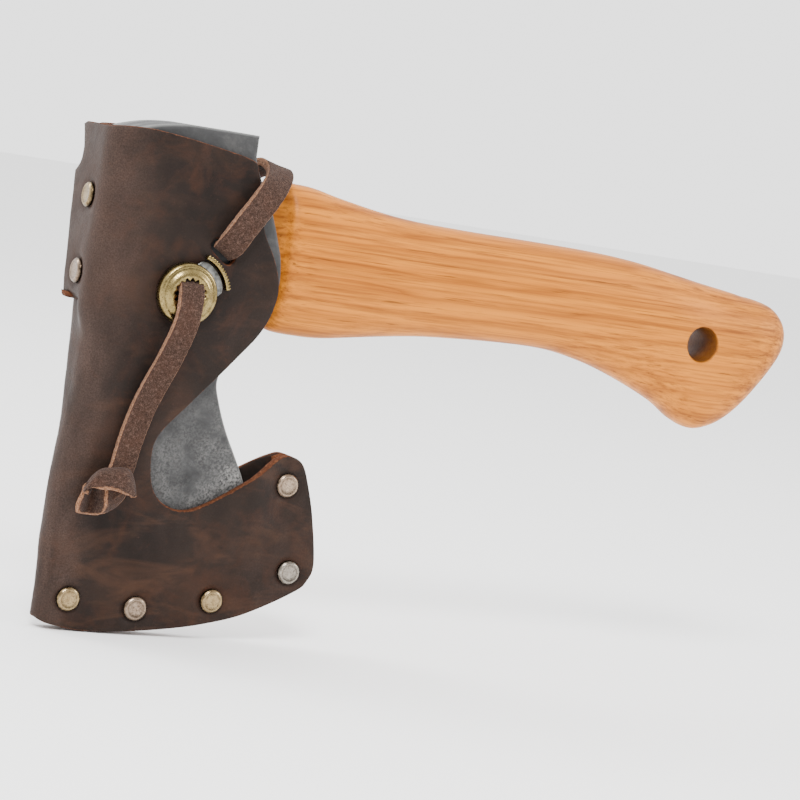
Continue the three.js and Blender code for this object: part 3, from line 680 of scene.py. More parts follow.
KNOT_END = [
    [(-112, -14.6, 43), (-109.5, -10.6, 43.5), (-107, -16, 43.5), (-97.5, -9.6, 42)],
    [(-112.5, -15, 41), (-108.6, -10.2, 41), (-106.8, -16.2, 41.5), (-98, -9.5, 40)],
    [(-113.5, -14.8, 37.5), (-108.4, -9.6, 37), (-106, -15.4, 38), (-100, -9.2, 37)],
    [(-112.5, -13.2, 35), (-108.4, -9.2, 34.2), (-106.3, -13, 35), (-103, -8.8, 35)],
]
KNOT_NECK = [
    ((-101.2, -11.75, 52), (0, -1, 0)),
    ((-101.6, -11.9, 49.6), (0, -1, 0)),
    ((-102.6, -12.6, 46.5), (0, -1, 0.2)),
    ((-104, -13.6, 43.5), (0, -1, 0.2)),
    ((-105.5, -13.4, 41.5), (0, -1, 0)),
]


def build_knot():
    parts = [bent_sheet(KNOT_WRAP, 5, 1.9), bent_sheet(KNOT_END, 6, 1.5, (0.0, 0.66))]
    parts.append(strap_parts(KNOT_NECK, THONG_WIDTH - 0.1, THONG_THICK + 0.1, (1.0, 0.7), 5, 6))
    knot = joined("thong_knot_leather", parts)
    return ride_as(knot, "sheath", "thong_leather", THONG_LOOK, "thong_knot")


knot = build_knot()
build_tail()


# ---------- flat nets ----------
def inside(loop, u, v):
    """Whether a point lies inside a closed loop of points."""
    odd = False
    for (u0, v0), (u1, v1) in zip(loop, loop[1:] + loop[:1]):
        if (v0 > v) != (v1 > v) and u < u0 + (v - v0) / (v1 - v0) * (u1 - u0):
            odd = not odd
    return odd


def area_sign(loop):
    total = sum(a[0] * b[1] - b[0] * a[1] for a, b in zip(loop, loop[1:] + loop[:1]))
    return 1 if total > 0 else -1


def evened(loop, step):
    """The closed loop with points about a step apart. It keeps the given corners."""
    points = []
    for (u0, v0), (u1, v1) in zip(loop, loop[1:] + loop[:1]):
        count = max(1, round(math.hypot(u1 - u0, v1 - v0) / step))
        points += [(u0 + (u1 - u0) * k / count, v0 + (v1 - v0) * k / count) for k in range(count)]
    return points


def inset(loop, distance):
    """The loop moved into the material, to the left of a loop that turns left."""
    moved = []
    count = len(loop)
    for i, (u, v) in enumerate(loop):
        before, after = loop[i - 1], loop[(i + 1) % count]
        along = Vector((after[0] - before[0], after[1] - before[1]))
        if along.length:
            along.normalize()
        moved.append((u - along.y * distance, v + along.x * distance))
    return moved


class Net:
    """Triangles over a flat outline with holes. Each point knows how far it is from the cut edge."""

    def __init__(self, outline, holes, step, rings, spots=()):
        loops = [outline if area_sign(outline) > 0 else outline[::-1]]
        loops += [hole if area_sign(hole) < 0 else hole[::-1] for hole in holes]
        self.loops = []
        self.points, self.depths, edges = [], [], []
        for loop in loops:
            start = len(self.points)
            self.loops.append(list(range(start, start + len(loop))))
            edges += [(start + i, start + (i + 1) % len(loop)) for i in range(len(loop))]
            self.take(loop, 0)
        for ring in rings:
            for loop in loops:
                self.take(inset(loop, ring), ring)
        clear = rings[-1] + step * 0.45 if rings else step * 0.45
        tree = KDTree(len(self.points))
        for i, (u, v) in enumerate(self.points):
            tree.insert((u, v, 0), i)
        tree.balance()
        fill = list(spots) + self.lattice(loops[0], step)
        near_spots = KDTree(len(spots))
        for i, (u, v) in enumerate(spots):
            near_spots.insert((u, v, 0), i)
        near_spots.balance()
        holes = loops[1:]
        for i, (u, v) in enumerate(fill):
            if tree.find((u, v, 0))[2] < clear or any(inside(hole, u, v) for hole in holes):
                continue
            if i >= len(spots) and spots and near_spots.find((u, v, 0))[2] < step * 0.5:
                continue
            self.take([(u, v)], rings[-1] if rings else 0)
        flat = [Vector(p) for p in self.points]
        _, _, faces, origin, _, _ = delaunay_2d_cdt(flat, edges, [], 1, 1e-6)
        self.faces = []
        for face in faces:
            corners = [origin[i][0] for i in face]
            u = sum(self.points[i][0] for i in corners) / 3
            v = sum(self.points[i][1] for i in corners) / 3
            if not any(inside(hole, u, v) for hole in holes):
                self.faces.append(tuple(corners))

    def take(self, points, depth):
        self.points += points
        self.depths += [depth] * len(points)

    @staticmethod
    def lattice(loop, step):
        """Points of a triangular lattice inside the loop."""
        points = []
        low = min(point[1] for point in loop)
        high = max(point[1] for point in loop)
        edges = list(zip(loop, loop[1:] + loop[:1]))
        for row in range(1, int((high - low) / (step * 0.87)) + 1):
            v = low + row * step * 0.87
            crossings = sorted(
                u0 + (v - v0) / (v1 - v0) * (u1 - u0) for (u0, v0), (u1, v1) in edges if (v0 > v) != (v1 > v)
            )
            for left, right in zip(crossings[::2], crossings[1::2]):
                first = math.ceil(left / step - row % 2 / 2)
                last = math.floor(right / step - row % 2 / 2)
                points += [((k + row % 2 / 2) * step, v) for k in range(first, last + 1)]
        return points

    def solid(self, place, round_over, marks=None):
        """Verts, faces and marks of a sheet. place(u, v, k) is its point at k through the sheet,
        from 0 on the outer face to 1 on the inner. round_over is how deep the edges are rounded,
        as a fraction of the thickness."""
        reach = max(self.depths) or 1
        count = len(self.points)
        dips = []
        for depth in self.depths:
            short = 1 - depth / reach
            dips.append(round_over * (1 - math.sqrt(max(1 - short * short, 0))))
        verts = [place(u, v, dip) for (u, v), dip in zip(self.points, dips)]
        verts += [place(u, v, 1 - dip) for (u, v), dip in zip(self.points, dips)]
        faces = list(self.faces) + [tuple(count + i for i in reversed(face)) for face in self.faces]
        values = {"cut": [1 - depth / reach for depth in self.depths] * 2}
        for name, mark in (marks or {}).items():
            row = [mark(u, v) for u, v in self.points]
            values[name] = row * 2
        for loop in self.loops:
            base = len(verts)
            verts += [place(*self.points[i], 0.5) for i in loop]
            values["cut"] += [1.6] * len(loop)
            for name, mark in (marks or {}).items():
                values[name] += [mark(*self.points[i]) for i in loop]
            for k, i in enumerate(loop):
                after = (k + 1) % len(loop)
                j = loop[after]
                faces.append((i, base + k, base + after, j))
                faces.append((base + k, count + i, count + j, base + after))
        return verts, faces, values


def ring_of(u, v, radius, count):
    step = 2 * math.pi / count
    return [(u + radius * math.cos(k * step), v + radius * math.sin(k * step)) for k in range(count)]


# ---------- the pocket's shape ----------
# Half the head's thickness by height, and the height of its cutting edge by x.
HEAD_HALF = [(15, 1.2), (21, 2.2), (36, 4.0), (56, 6.2), (76, 8.6), (96, 11), (160, 11)]
EDGE_HEIGHT = [(-113, 17.6), (-97, 14.8), (-80, 15.6), (-62, 20.3), (-49.5, 28)]
# The head's lower rear outline, as z by x. Behind it and below BEARD_TOP, the pocket only has to
# fit the part of the bit that passes there on its way up.
BEARD = [(-75, 77), (-69, 61), (-62, 49.5), (-56.5, 39), (-49.5, 28), (-48, 14)]
BEARD_TOP = 62
BEARD_PLAY = 2.6
WELT_HALF = 1.45  # half the pocket's width where only the welt is between the panels
FIT = 0.45


def blade_half(x, z):
    """Half the thickness of the head, which the grind thins towards its edge."""
    grind = 0.25 + 0.24 * max(z - table_value(EDGE_HEIGHT, x), 0)
    return min(smooth_table(HEAD_HALF, z, 7), grind)


def pocket_half(x, z):
    passing = z if z > BEARD_TOP else min(z, table_value(BEARD, x - BEARD_PLAY))
    return max(blade_half(x, passing) + FIT, WELT_HALF)


class Field:
    """A smoothed copy of a function of x and z, kept on a grid of whole millimetres."""

    def __init__(self, function, x_range, z_range, reach):
        self.x0, self.z0 = x_range[0], z_range[0]
        around = [(0, 0)] + [
            (reach * r * math.cos(a), reach * r * math.sin(a))
            for r, count in ((0.5, 4), (1, 6))
            for a in spread(0, 2 * math.pi, count)[1:]
        ]
        self.rows = [
            [
                sum(function(x + dx, z + dz) for dx, dz in around) / len(around)
                for x in range(x_range[0], x_range[1] + 1)
            ]
            for z in range(z_range[0], z_range[1] + 1)
        ]

    def __call__(self, x, z):
        i = min(max(x - self.x0, 0), len(self.rows[0]) - 1.001)
        j = min(max(z - self.z0, 0), len(self.rows) - 1.001)
        a, b = int(i), int(j)
        s, t = i - a, j - b
        low = self.rows[b][a] * (1 - s) + self.rows[b][a + 1] * s
        high = self.rows[b + 1][a] * (1 - s) + self.rows[b + 1][a + 1] * s
        return low * (1 - t) + high * t


POCKET = Field(pocket_half, (-120, -28), (-3, 148), 3.0)


# ---------- sheath ----------
CORNER = 9.0  # outer radius of the folds on both sides of the spine
FOLD_X = SPINE_X + CORNER
HALF_WRAP = 19.2  # length of leather from the front fold to the spine's middle
PANEL_EDGE = [
    [(FOLD_X, 143.5), (-102, 143), (-95, 142.2), (-82.4, 140.4), (-77.8, 139.4)],
    [(-77.8, 139.4), (-76.3, 138.6), (-75.5, 136.5)],
    [(-75.5, 136.5), (-73.3, 129), (-70.7, 120), (-65.8, 111.6), (-63.5, 103), (-66.2, 92.4), (-74, 81.2)]
    + [(-84.6, 67.4), (-90.6, 59.4), (-92, 53), (-89.6, 43.2), (-84.4, 38.4), (-77.7, 37.5), (-69.6, 41.3)]
    + [(-56.1, 50.9), (-50.4, 54.9), (-46.8, 56.1), (-42.2, 54.2), (-39.2, 48), (-35.7, 37), (-33.2, 25)]
    + [(-34.6, 19.6), (-38.5, 15.8), (-53.1, 8.3), (-65.5, 4.5), (-77.9, 2.1), (-90.4, 0.6), (-103, 0.05)]
    + [(FOLD_X, 0.5)],
]
FLAP_LOW = 92.9
FLAP_TOP = 141.9
FLAP_CUT = 2.0  # how far past the spine's middle the cut under the flap's lower edge ends
CUT_FADE = 7  # length before the cut's end over which the flap's lift dies out
CUT_OPEN = 3  # length past it over which the flap comes free
TUCK = 0.7  # how far the under layer is tucked in behind the flap's free edge, in wraps
DRAWN_UP = 1.4  # how far the leather below the cut is drawn up
RISE_FROM = 74  # height at which the spine starts to rise to the flap's level
RISE_SLANT = 13  # how much higher that starts at RISE_WRAP
RISE_WRAP = 1.2
RISE_TO = 93
FLAP_GAP = 0.35  # width of the slit along the flap's free edge, on the unrolled leather
# The flap's free edge, as how far it reaches round the back (y) against the height.
FLAP_EDGE = [(FLAP_LOW, 8.4), (129.1, 13.6), (129.8, 11.4), (132.1, 9.7), (135.4, 9.3), (139, 10.4)]
FLAP_EDGE += [(FLAP_TOP, 11.7)]
SPINE_SWAY = [(0, 0), (12, 0), (26, 0.7), (38, 0.7), (60, -0.5), (84, -0.5), (98, 0)]
EDGE_RIVETS = [(-108.2, 8.9), (-87.5, 7.6), (-64.2, 11.5), (-41.1, 21.8), (-46.1, 47.4)]
SPINE_RIVETS = (101.2, 122.6)
LOOP_RIVETS = [(-109.2, 104.6), (-109.2, 114.6), (-70.4, 104.6), (-70.4, 114.6)]
FRONT_SLIT = (-82.6, 112.8)
BACK_SLIT = (-78.2, 127.3)
SLIT_TURN = math.radians(53)
LOCK_HOLE = 6.3  # radius of the hole in the front panel under the lock


def back_u(x):
    """The unrolled place of the back panel's x, and the x of its unrolled place."""
    return 2 * FOLD_X - 2 * HALF_WRAP - x


def edge_wrap(z):
    """How far round the wrap the flap's free edge is, from 1 at the spine's middle."""
    return 1 + table_value(FLAP_EDGE, z) / HALF_WRAP


def section(wrap, z):
    """The outer face's point at a place round the wrap, which runs from 0 to 2 across the spine."""
    half = POCKET(FOLD_X, z) + LEATHER + SLACK
    side = -1 if wrap < 1 else 1
    radius = min(CORNER, half)
    lead, turn, flat = CORNER - radius, radius * math.pi / 2, half - radius
    s = (wrap if wrap < 1 else 2 - wrap) * (lead + turn + flat)
    if s < lead:
        return Vector((FOLD_X - s, side * half, z))
    if s < lead + turn:
        angle = (s - lead) / radius
        y = side * (flat + radius * math.cos(angle))
        return Vector((SPINE_X + radius * (1 - math.sin(angle)), y, z))
    return Vector((SPINE_X, side * (lead + turn + flat - s), z))


def is_under(u, z):
    """Whether a place on the unrolled leather belongs to the back's layer, under the flap."""
    wrap = (FOLD_X - u) / HALF_WRAP
    if z > FLAP_LOW - FLAP_GAP / 2:
        return wrap > edge_wrap(max(z, FLAP_LOW)) + FLAP_GAP / 2 / HALF_WRAP
    return False


def smooth_skin(u, z, under):
    """The sheath's outer face without its dents, from the unrolled leather's u and z."""
    wrap = (FOLD_X - u) / HALF_WRAP
    if wrap <= 0:
        return Vector((u, -POCKET(u, z) - LEATHER - 0.1, z))
    if wrap >= 2:
        x = back_u(u)
        return Vector((x, POCKET(x, z) + LEATHER + SLACK, z))
    round_back = (wrap - 1) * HALF_WRAP  # how far the place is past the spine's middle
    if under:
        free = edge_wrap(max(z, FLAP_LOW))
        hidden = free - TUCK * smoothstep(z, FLAP_LOW, FLAP_LOW + 4)
        point = section(hidden + (wrap - free) / (2 - free) * (2 - hidden), z)
        return sway(point, 0)
    if z < FLAP_LOW - FLAP_GAP / 2:
        drawn = smoothstep(round_back, FLAP_CUT, FLAP_CUT + CUT_OPEN)
        drawn *= 1 - smoothstep(round_back, 8, 10)
        z_moved = z + DRAWN_UP * drawn * smoothstep(z, FLAP_LOW - 5, FLAP_LOW)
        slope = smoothstep(z, RISE_FROM + RISE_SLANT * min(wrap, RISE_WRAP) / RISE_WRAP, RISE_TO)
        lift = FLAP_STEP * slope * (1 - smoothstep(round_back, FLAP_CUT - CUT_FADE, FLAP_CUT))
        point = sway(section(wrap, z), lift)
        point.z = z_moved
        return point
    near_cut = 1 - smoothstep(round_back, FLAP_CUT - CUT_FADE, FLAP_CUT)
    open_edge = smoothstep(round_back, FLAP_CUT, FLAP_CUT + CUT_OPEN)
    lift = FLAP_STEP * max(near_cut, open_edge, smoothstep(z, FLAP_LOW, FLAP_LOW + 2.5))
    point = section(wrap, z)
    if round_back > 0:
        straight = Vector((SPINE_X, round_back, z))
        point = point.lerp(straight, smoothstep(z + 3 * open_edge, FLAP_LOW, FLAP_LOW + 3))
    return sway(point, lift)


def sway(point, lift):
    """Moves the spine out by lift, and lets it wander a little along its height."""
    near = smoothstep(FOLD_X - point.x, 0, CORNER * 0.95)
    point.x -= near * (lift + table_value(SPINE_SWAY, point.z))
    return point


# Dents, as the radius where they are full, the radius where they end, and their depth.
EDGE_DENT = (3.5, 5.6, 0.6)
SPINE_DENT = (3.5, 5.8, 0.6)
LOOP_DENT = (3.5, 5.2, 0.45)
UNDER_LOOP_DENT = (3, 6, 0.2)
LOCK_DENT = (8.6, 11, 0.2)


def dent(distance, low, high, depth):
    return depth * (1 - smoothstep(distance, low, high))


def skin_dent(point):
    """How far the leather is pressed in at a point of the outer face."""
    deep = 0.0
    if point.x > FOLD_X - 5:
        for x, z in EDGE_RIVETS:
            deep += dent(math.hypot(point.x - x, point.z - z), *EDGE_DENT)
        if point.y > 0:
            for x, z in LOOP_RIVETS:
                deep += dent(math.hypot(point.x - x, point.z - z), *UNDER_LOOP_DENT)
        deep += dent(math.hypot(point.x - LOCK.x, point.z - LOCK.z), *LOCK_DENT)
    else:
        for z in SPINE_RIVETS:
            deep += dent(math.hypot(point.y, point.z - z), *SPINE_DENT)
    return deep


def skin(u, z, k):
    under = is_under(u, z)
    point = smooth_skin(u, z, under)
    step = 0.25
    along = smooth_skin(u + step, z, under) - smooth_skin(u - step, z, under)
    upward = smooth_skin(u, z + step, under) - smooth_skin(u, z - step, under)
    out = along.cross(upward)
    out.normalize()
    wave = 0.22 * noise.noise(point * 0.055) + 0.12 * noise.noise(point * 0.16)
    ripple = 0.035 * noise.noise(point * 0.6)
    return point + out * (wave + ripple - skin_dent(point) - k * LEATHER)


def skin_wear(u, z):
    """Rubbed places: the spine, the folds, and round the edges."""
    wrap = (FOLD_X - u) / HALF_WRAP
    spine = smoothstep(wrap, -0.35, 0.35) * (1 - smoothstep(wrap, 1.7, 2.2))
    patch = 0.5 + 0.5 * noise.noise(Vector((u * 0.07, z * 0.05, 3)))
    streak = 0.5 + 0.5 * noise.noise(Vector((u * 0.3, z * 0.12, 7)))
    heel = smoothstep(u, -70, -40) * (1 - smoothstep(z, 20, 60)) * 0.35
    rubbed = spine * (0.3 + 0.8 * patch) * (0.55 + 0.6 * streak)
    return min(1, rubbed + 0.35 * patch * streak + heel * streak)


SLIT_LONG = 4.3  # half the slit's length
SLIT_WIDE = 2.1  # half its width


def slit(centre, side):
    """The slit's outline on the unrolled leather. It is long across the thong's way."""
    points = []
    across = Vector((math.sin(SLIT_TURN), -math.cos(SLIT_TURN)))
    along = Vector((math.cos(SLIT_TURN), math.sin(SLIT_TURN)))
    for angle in spread(0, 2 * math.pi, 28)[:-1]:
        a = SLIT_LONG * math.copysign(abs(math.cos(angle)) ** 0.6, math.cos(angle))
        b = SLIT_WIDE * math.copysign(abs(math.sin(angle)) ** 0.6, math.sin(angle))
        p = Vector(centre) + across * a + along * b
        points.append((p.x if side < 0 else back_u(p.x), p.y))
    return points


def sheath_net():
    panel = []
    for part in PANEL_EDGE:
        panel += [tuple(p) for p in curve_through(part, 6)][:-1]
    panel.append(PANEL_EDGE[-1][-1])
    front = list(panel)
    back = [(back_u(x), z) for x, z in reversed(panel)]
    spine_low = [(FOLD_X - HALF_WRAP * w, 0.6 + 2.4 * min(w, 2 - w) ** 1.5) for w in spread(0, 2, 16)]
    top = [(FOLD_X - HALF_WRAP * w, 143.5 - 0.9 * smoothstep(w, 0.1, 0.7)) for w in spread(0.06, 1.5, 16)]
    free = [(FOLD_X - HALF_WRAP * edge_wrap(z), z) for z in spread(FLAP_TOP, FLAP_LOW, 44)]
    cut_end = FOLD_X - HALF_WRAP - FLAP_CUT
    under = [(u - FLAP_GAP, z) for u, z in reversed(free)]
    under_top = [(under[-1][0], 142.3), (back_u(FOLD_X), 143.3)]
    notch = [(cut_end, FLAP_LOW), (cut_end, FLAP_LOW - FLAP_GAP), (under[0][0], FLAP_LOW - FLAP_GAP)]
    # The outline runs from the fold's foot up the spine's free edge and round both panels.
    outline = front[::-1] + top + free + notch + under + under_top + back[::-1]
    outline += spine_low[::-1][1:-1]
    clean = [outline[0]]
    for point in outline[1:]:
        if math.hypot(point[0] - clean[-1][0], point[1] - clean[-1][1]) > 0.12:
            clean.append(point)
    holes = [
        evened(slit(FRONT_SLIT, -1), 0.8),
        evened(slit(BACK_SLIT, 1), 0.8),
        ring_of(LOCK.x, LOCK.z, LOCK_HOLE, 36),
    ]
    spots = []
    middle = FOLD_X - HALF_WRAP
    places = EDGE_RIVETS + [(back_u(x), z) for x, z in EDGE_RIVETS]
    places += [(middle, z) for z in SPINE_RIVETS]
    # Points round the rivets, which the leather's dents need.
    for u, z in places:
        for radius in (2.4, 3.4, 4.0, 4.6, 5.3):
            spots += ring_of(u, z, radius, 28)
    return Net(evened(clean, 1.1), holes, 1.35, (0.12, 0.32, 0.65), spots)


SHEATH_NET = sheath_net()
sheath = joined("sheath_leather", [SHEATH_NET.solid(skin, 0.24, {"wear": skin_wear})])
ride_as(sheath, "sheath", "leather", LEATHER_LOOK, "sheath_body", "spine_flap")


WELT_THICK = 2.76
WELT_FROM = 15  # the point of the panels' edge, at the heel's top, from which the welt follows it


def welt_net():
    outer = curve_through(PANEL_EDGE[2][WELT_FROM:], 5)
    line = [(p.x, p.y) for p in outer]
    inner = curve_through([(-112.8, 14.6), (-97, 12.9), (-80, 13.7), (-61.3, 18.5), (-49.2, 26)], 6)
    outline = line + [(-112.9, 1.2)] + [(p.x, p.y) for p in inner] + [(-49.5, 50)]
    return Net(evened(outline, 1.2), [], 2.2, (0.25,))


def welt_place(u, v, k):
    point = Vector((u, -WELT_THICK / 2 + WELT_THICK * k, v))
    point += Vector((0.12, 0, 0.12)) * noise.noise(Vector((u, v, k)) * 0.8)
    return point


welt = joined("edge_welt_leather", [welt_net().solid(welt_place, 0.1)])
ride_as(welt, "sheath", "raw_leather", RAW_LOOK, "edge_welt")


# ---------- belt loop ----------
LOOP_LOW, LOOP_HIGH = box_mm("belt_loop")
LOOP_WALL = 2.2


def belt_loop_piece():
    foot = -PANEL_Y + 0.35
    crest = LOOP_HIGH.y - LOOP_WALL
    x0, x1 = LOOP_LOW.x, LOOP_HIGH.x
    shape = [(x0, foot), (x0 + 6, foot), (x0 + 9.1, foot + 0.5), (x0 + 12.1, crest - 0.7)]
    shape += [(x0 + 15.5, crest), (x1 - 14, crest), (x1 - 10.8, crest - 0.7)]
    shape += [(x1 - 8.2, foot + 0.5), (x1 - 5.5, foot), (x1, foot)]
    step = 0.5
    line = resampled([Vector((p.x, p.y, 0)) for p in curve_through(shape, 8)], step)
    length = step * (len(line) - 1)
    low, high = LOOP_LOW.z, LOOP_HIGH.z
    corner = 3
    outline = []
    for cu, cv, start in (
        (corner, low + corner, 180),
        (length - corner, low + corner, 270),
        (length - corner, high - corner, 0),
        (corner, high - corner, 90),
    ):
        for angle in spread(start, start + 90, 6):
            a = math.radians(angle)
            outline.append((cu + corner * math.cos(a), cv + corner * math.sin(a)))

    def place(u, v, k):
        i = min(max(u / step, 0), len(line) - 1.001)
        a, b = line[int(i)], line[int(i) + 1]
        point = a.lerp(b, i - int(i))
        along = (b - a).normalized()
        out = Vector((-along.y, along.x, 0))
        deep = sum(dent(math.hypot(point.x - x, v - z), *LOOP_DENT) for x, z in LOOP_RIVETS)
        point = point + out * (LOOP_WALL * (1 - k) - deep * (1 - k))
        point.z = v
        return point + Vector((0, 0.12, 0)) * noise.noise(point * 0.12)

    spots = []
    for x, z in LOOP_RIVETS:
        u = x - x0 if x < (x0 + x1) / 2 else length - (x1 - x)
        for radius in (2.4, 3.4, 4.0, 4.7):
            spots += ring_of(u, z, radius, 24)
    net = Net(evened(outline, 1.0), [], 1.3, (0.12, 0.32, 0.6), spots)
    wear = {"wear": lambda u, v: 0.3 + 0.4 * noise.noise(Vector((u * 0.1, v * 0.1, 1)))}
    loop = joined("belt_loop_leather", [net.solid(place, 0.24, wear)])
    return ride_as(loop, "sheath", "leather", LEATHER_LOOK, "belt_loop")


belt_loop_piece()


# ---------- rivets ----------
RIVET_RADIUS = 3.6
RIVET_HEIGHT = 1.15
FLANGE_HEIGHT = 0.7  # of the post's flange, where it shows
RIVET_SINK = 0.42  # how far a rivet is pressed into the leather


def rivet(name, node, seat, out, height, look, seed):
    """A cap whose flat face is a little dished and whose edge is bevelled."""
    radius = RIVET_RADIUS
    lean = random.Random(seed)
    tilt = Vector((lean.uniform(-1, 1), lean.uniform(-1, 1), lean.uniform(-1, 1))) * 0.035
    place = facing(seat, (out + tilt).normalized())
    # The third numbers darken the sides, the bevel and the dish's ring: painted shade, with some patina in
    # the ring.
    profile = [
        (0.0, height - 0.16, 0.0),
        (radius * 0.4, height - 0.14, 0.05),
        (radius * 0.66, height - 0.08, 0.55),
        (radius * 0.73, height - 0.01, 0.0),
        (radius * 0.77, height, 0.0),
        (radius * 0.81, height - 0.04, 0.1),
        (radius * 0.87, height * 0.8, 0.5),
        (radius * 0.94, height * 0.62, 0.6),
        (radius * 0.99, height * 0.42, 0.9),
        (radius, height * 0.2, 1.0),
        (radius, -0.25, 1.0),
        (radius - 0.5, -0.3, 1.0),
        (0.0, -0.3, 1.0),
    ]

    def uneven(angle, r, _height):
        return 0.03 * noise.noise(Vector((math.cos(angle), math.sin(angle), seed))) * (r > 2)

    piece = to_object(name, *revolved(profile, 56, place, uneven))
    weld = piece.modifiers.new("weld", "WELD")
    weld.merge_threshold = 1e-6
    return ride_as(piece, "sheath", "antique_brass", look, node)


def rivet_pair(name, centre, out, grip, look, seed, flange):
    """The cap on the outside, and the post's flange on the other side."""
    reach = out * (grip / 2 - RIVET_SINK)
    rivet(f"{name}_cap_metal", f"{name}_cap", centre + reach, out, RIVET_HEIGHT, look, seed)
    back = RIVET_LOOKS[(seed + 1) % len(RIVET_LOOKS)]
    rivet(f"{name}_post_metal", f"{name}_post", centre - reach, -out, flange, back, seed + 50)


def place_rivets():
    looks = (0, 1, 0, 2, 1)
    for i, (x, z) in enumerate(EDGE_RIVETS):
        grip = 2 * (POCKET(x, z) + LEATHER + SLACK)
        look = RIVET_LOOKS[looks[i]]
        centre = Vector((x, 0, z))
        rivet_pair(f"edge_rivet_{i + 1}", centre, Vector((0, -1, 0)), grip, look, i, RIVET_HEIGHT)
    inside_x = SPINE_X + LEATHER
    outside_x = SPINE_X - FLAP_STEP
    for i, z in enumerate(SPINE_RIVETS):
        centre = Vector(((inside_x + outside_x) / 2, 0, z))
        grip = inside_x - outside_x
        look = RIVET_LOOKS[1 - i]
        rivet_pair(f"spine_rivet_{i + 1}", centre, Vector((-1, 0, 0)), grip, look, 10 + i, FLANGE_HEIGHT)
    inside_y = -PANEL_Y - LEATHER
    outside_y = LOOP_LOW.y + LOOP_WALL
    for i, (x, z) in enumerate(LOOP_RIVETS):
        centre = Vector((x, (inside_y + outside_y) / 2, z))
        grip = outside_y - inside_y
        look = RIVET_LOOKS[i % 3]
        rivet_pair(f"loop_rivet_{i + 1}", centre, Vector((0, 1, 0)), grip, look, 20 + i, FLANGE_HEIGHT)


place_rivets()


# ---------- cutting ----------
SHARP_FROM = math.radians(42)  # faces that meet at more than this keep a hard edge


def cut(piece, cutter):
    """The piece with the cutter's solid taken out of it."""
    modifier = piece.modifiers.new("cut", "BOOLEAN")
    modifier.operation = "DIFFERENCE"
    modifier.solver = "EXACT"
    modifier.object = cutter
    bpy.context.view_layer.update()
    seen = piece.evaluated_get(bpy.context.evaluated_depsgraph_get())
    mesh = bpy.data.meshes.new_from_object(seen)
    piece.modifiers.clear()
    piece.data = mesh
    bpy.data.objects.remove(cutter)
    mesh.shade_smooth()
    mesh.set_sharp_from_angle(angle=SHARP_FROM)
    return piece


def oval(x, middle_z, half_y, half_z, count):
    """An upright oval section, rather squarer than an ellipse."""
    ring = []
    for k in range(count):
        a = 2 * math.pi * k / count
        across = math.copysign(abs(math.cos(a)) ** 0.85, math.cos(a))
        upward = math.copysign(abs(math.sin(a)) ** 0.85, math.sin(a))
        ring.append(Vector((x, half_y * across, middle_z + half_z * upward)))
    return ring


# ---------- axe head ----------
TONGUE_HALF = 7.0
TONGUE_HEIGHT = 35.6
TONGUE_Z = 113.2
POLL_Z = box_mm("axe_head")[1].z
CHEEK = 11.0
EYE_PLAY = 0.15
EYE_STATIONS = (-125, -108, -90, -72, -50)
OVAL_POINTS = 72
HEAD_LINE = [
    EDGE_HEIGHT,
    [(-49.5, 28), (-56.5, 39), (-62, 49.5), (-69, 61), (-74, 71), (-75.2, 77), (-72.5, 83), (-67, 91.5)]
    + [(-63.4, 99), (-62, 105.5), (-62.8, 112.5), (-64.8, 118.5), (-68.4, 127), (-72.6, 134), (-75.3, 140)],
    [(-75.3, 140), (-75.6, POLL_Z)],
    [(-75.6, POLL_Z), (-95, POLL_Z)],
    [(-95, POLL_Z), (-100, POLL_Z - 0.5), (-106, POLL_Z - 1.6), (-112.6, POLL_Z - 3.6)],
    [(-112.6, POLL_Z - 3.6), (-112.4, 110), (-112.2, 60), (-113, 17.6)],
]


def head_half(x, z):
    flat = CHEEK - 0.8 * max(2 - (x + 112.6), 0)
    return max(min(blade_half(x, z), flat), 0.3)


def head_place(u, v, k):
    side = 2 * k - 1
    half = head_half(u, v)
    spot = Vector((u, side * 20, v))
    dimple = 0.16 * noise.noise(spot * 0.09) + 0.07 * noise.noise(spot * 0.35)
    x = u + 0.12 * noise.noise(Vector((u, k * 8, v)) * 0.15)
    z = v + 0.1 * noise.noise(Vector((v, u, k * 8)) * 0.12)
    return Vector((x, side * (half + dimple * min(1, half / 4)), z))


def head_ground(u, v):
    """The bright strip that the grind leaves along the cutting edge."""
    wander = noise.noise(Vector((u * 0.05, v * 0.05, 2)))
    return 1 - smoothstep(v - table_value(EDGE_HEIGHT, u) + wander, 7, 10)


def build_head():
    outline = []
    for part in HEAD_LINE:
        outline += [(p.x, p.y) for p in curve_through(part, 5)][:-1]
    net = Net(evened(outline, 1.6), [], 2.2, (0.35, 0.9, 1.5))
    head = joined("axe_head_forged", [net.solid(head_place, 0.055, {"ground": head_ground})])
    rings = []
    for x in EYE_STATIONS:
        rings += oval(x, TONGUE_Z, TONGUE_HALF + EYE_PLAY, TONGUE_HEIGHT / 2 + EYE_PLAY, OVAL_POINTS)
    cutter = to_object("eye_cutter", rings, grid_faces(len(rings) // OVAL_POINTS, OVAL_POINTS))
    ride_as(cut(head, cutter), "hatchet", "forged_steel", STEEL_LOOK, "axe_head")


build_head()


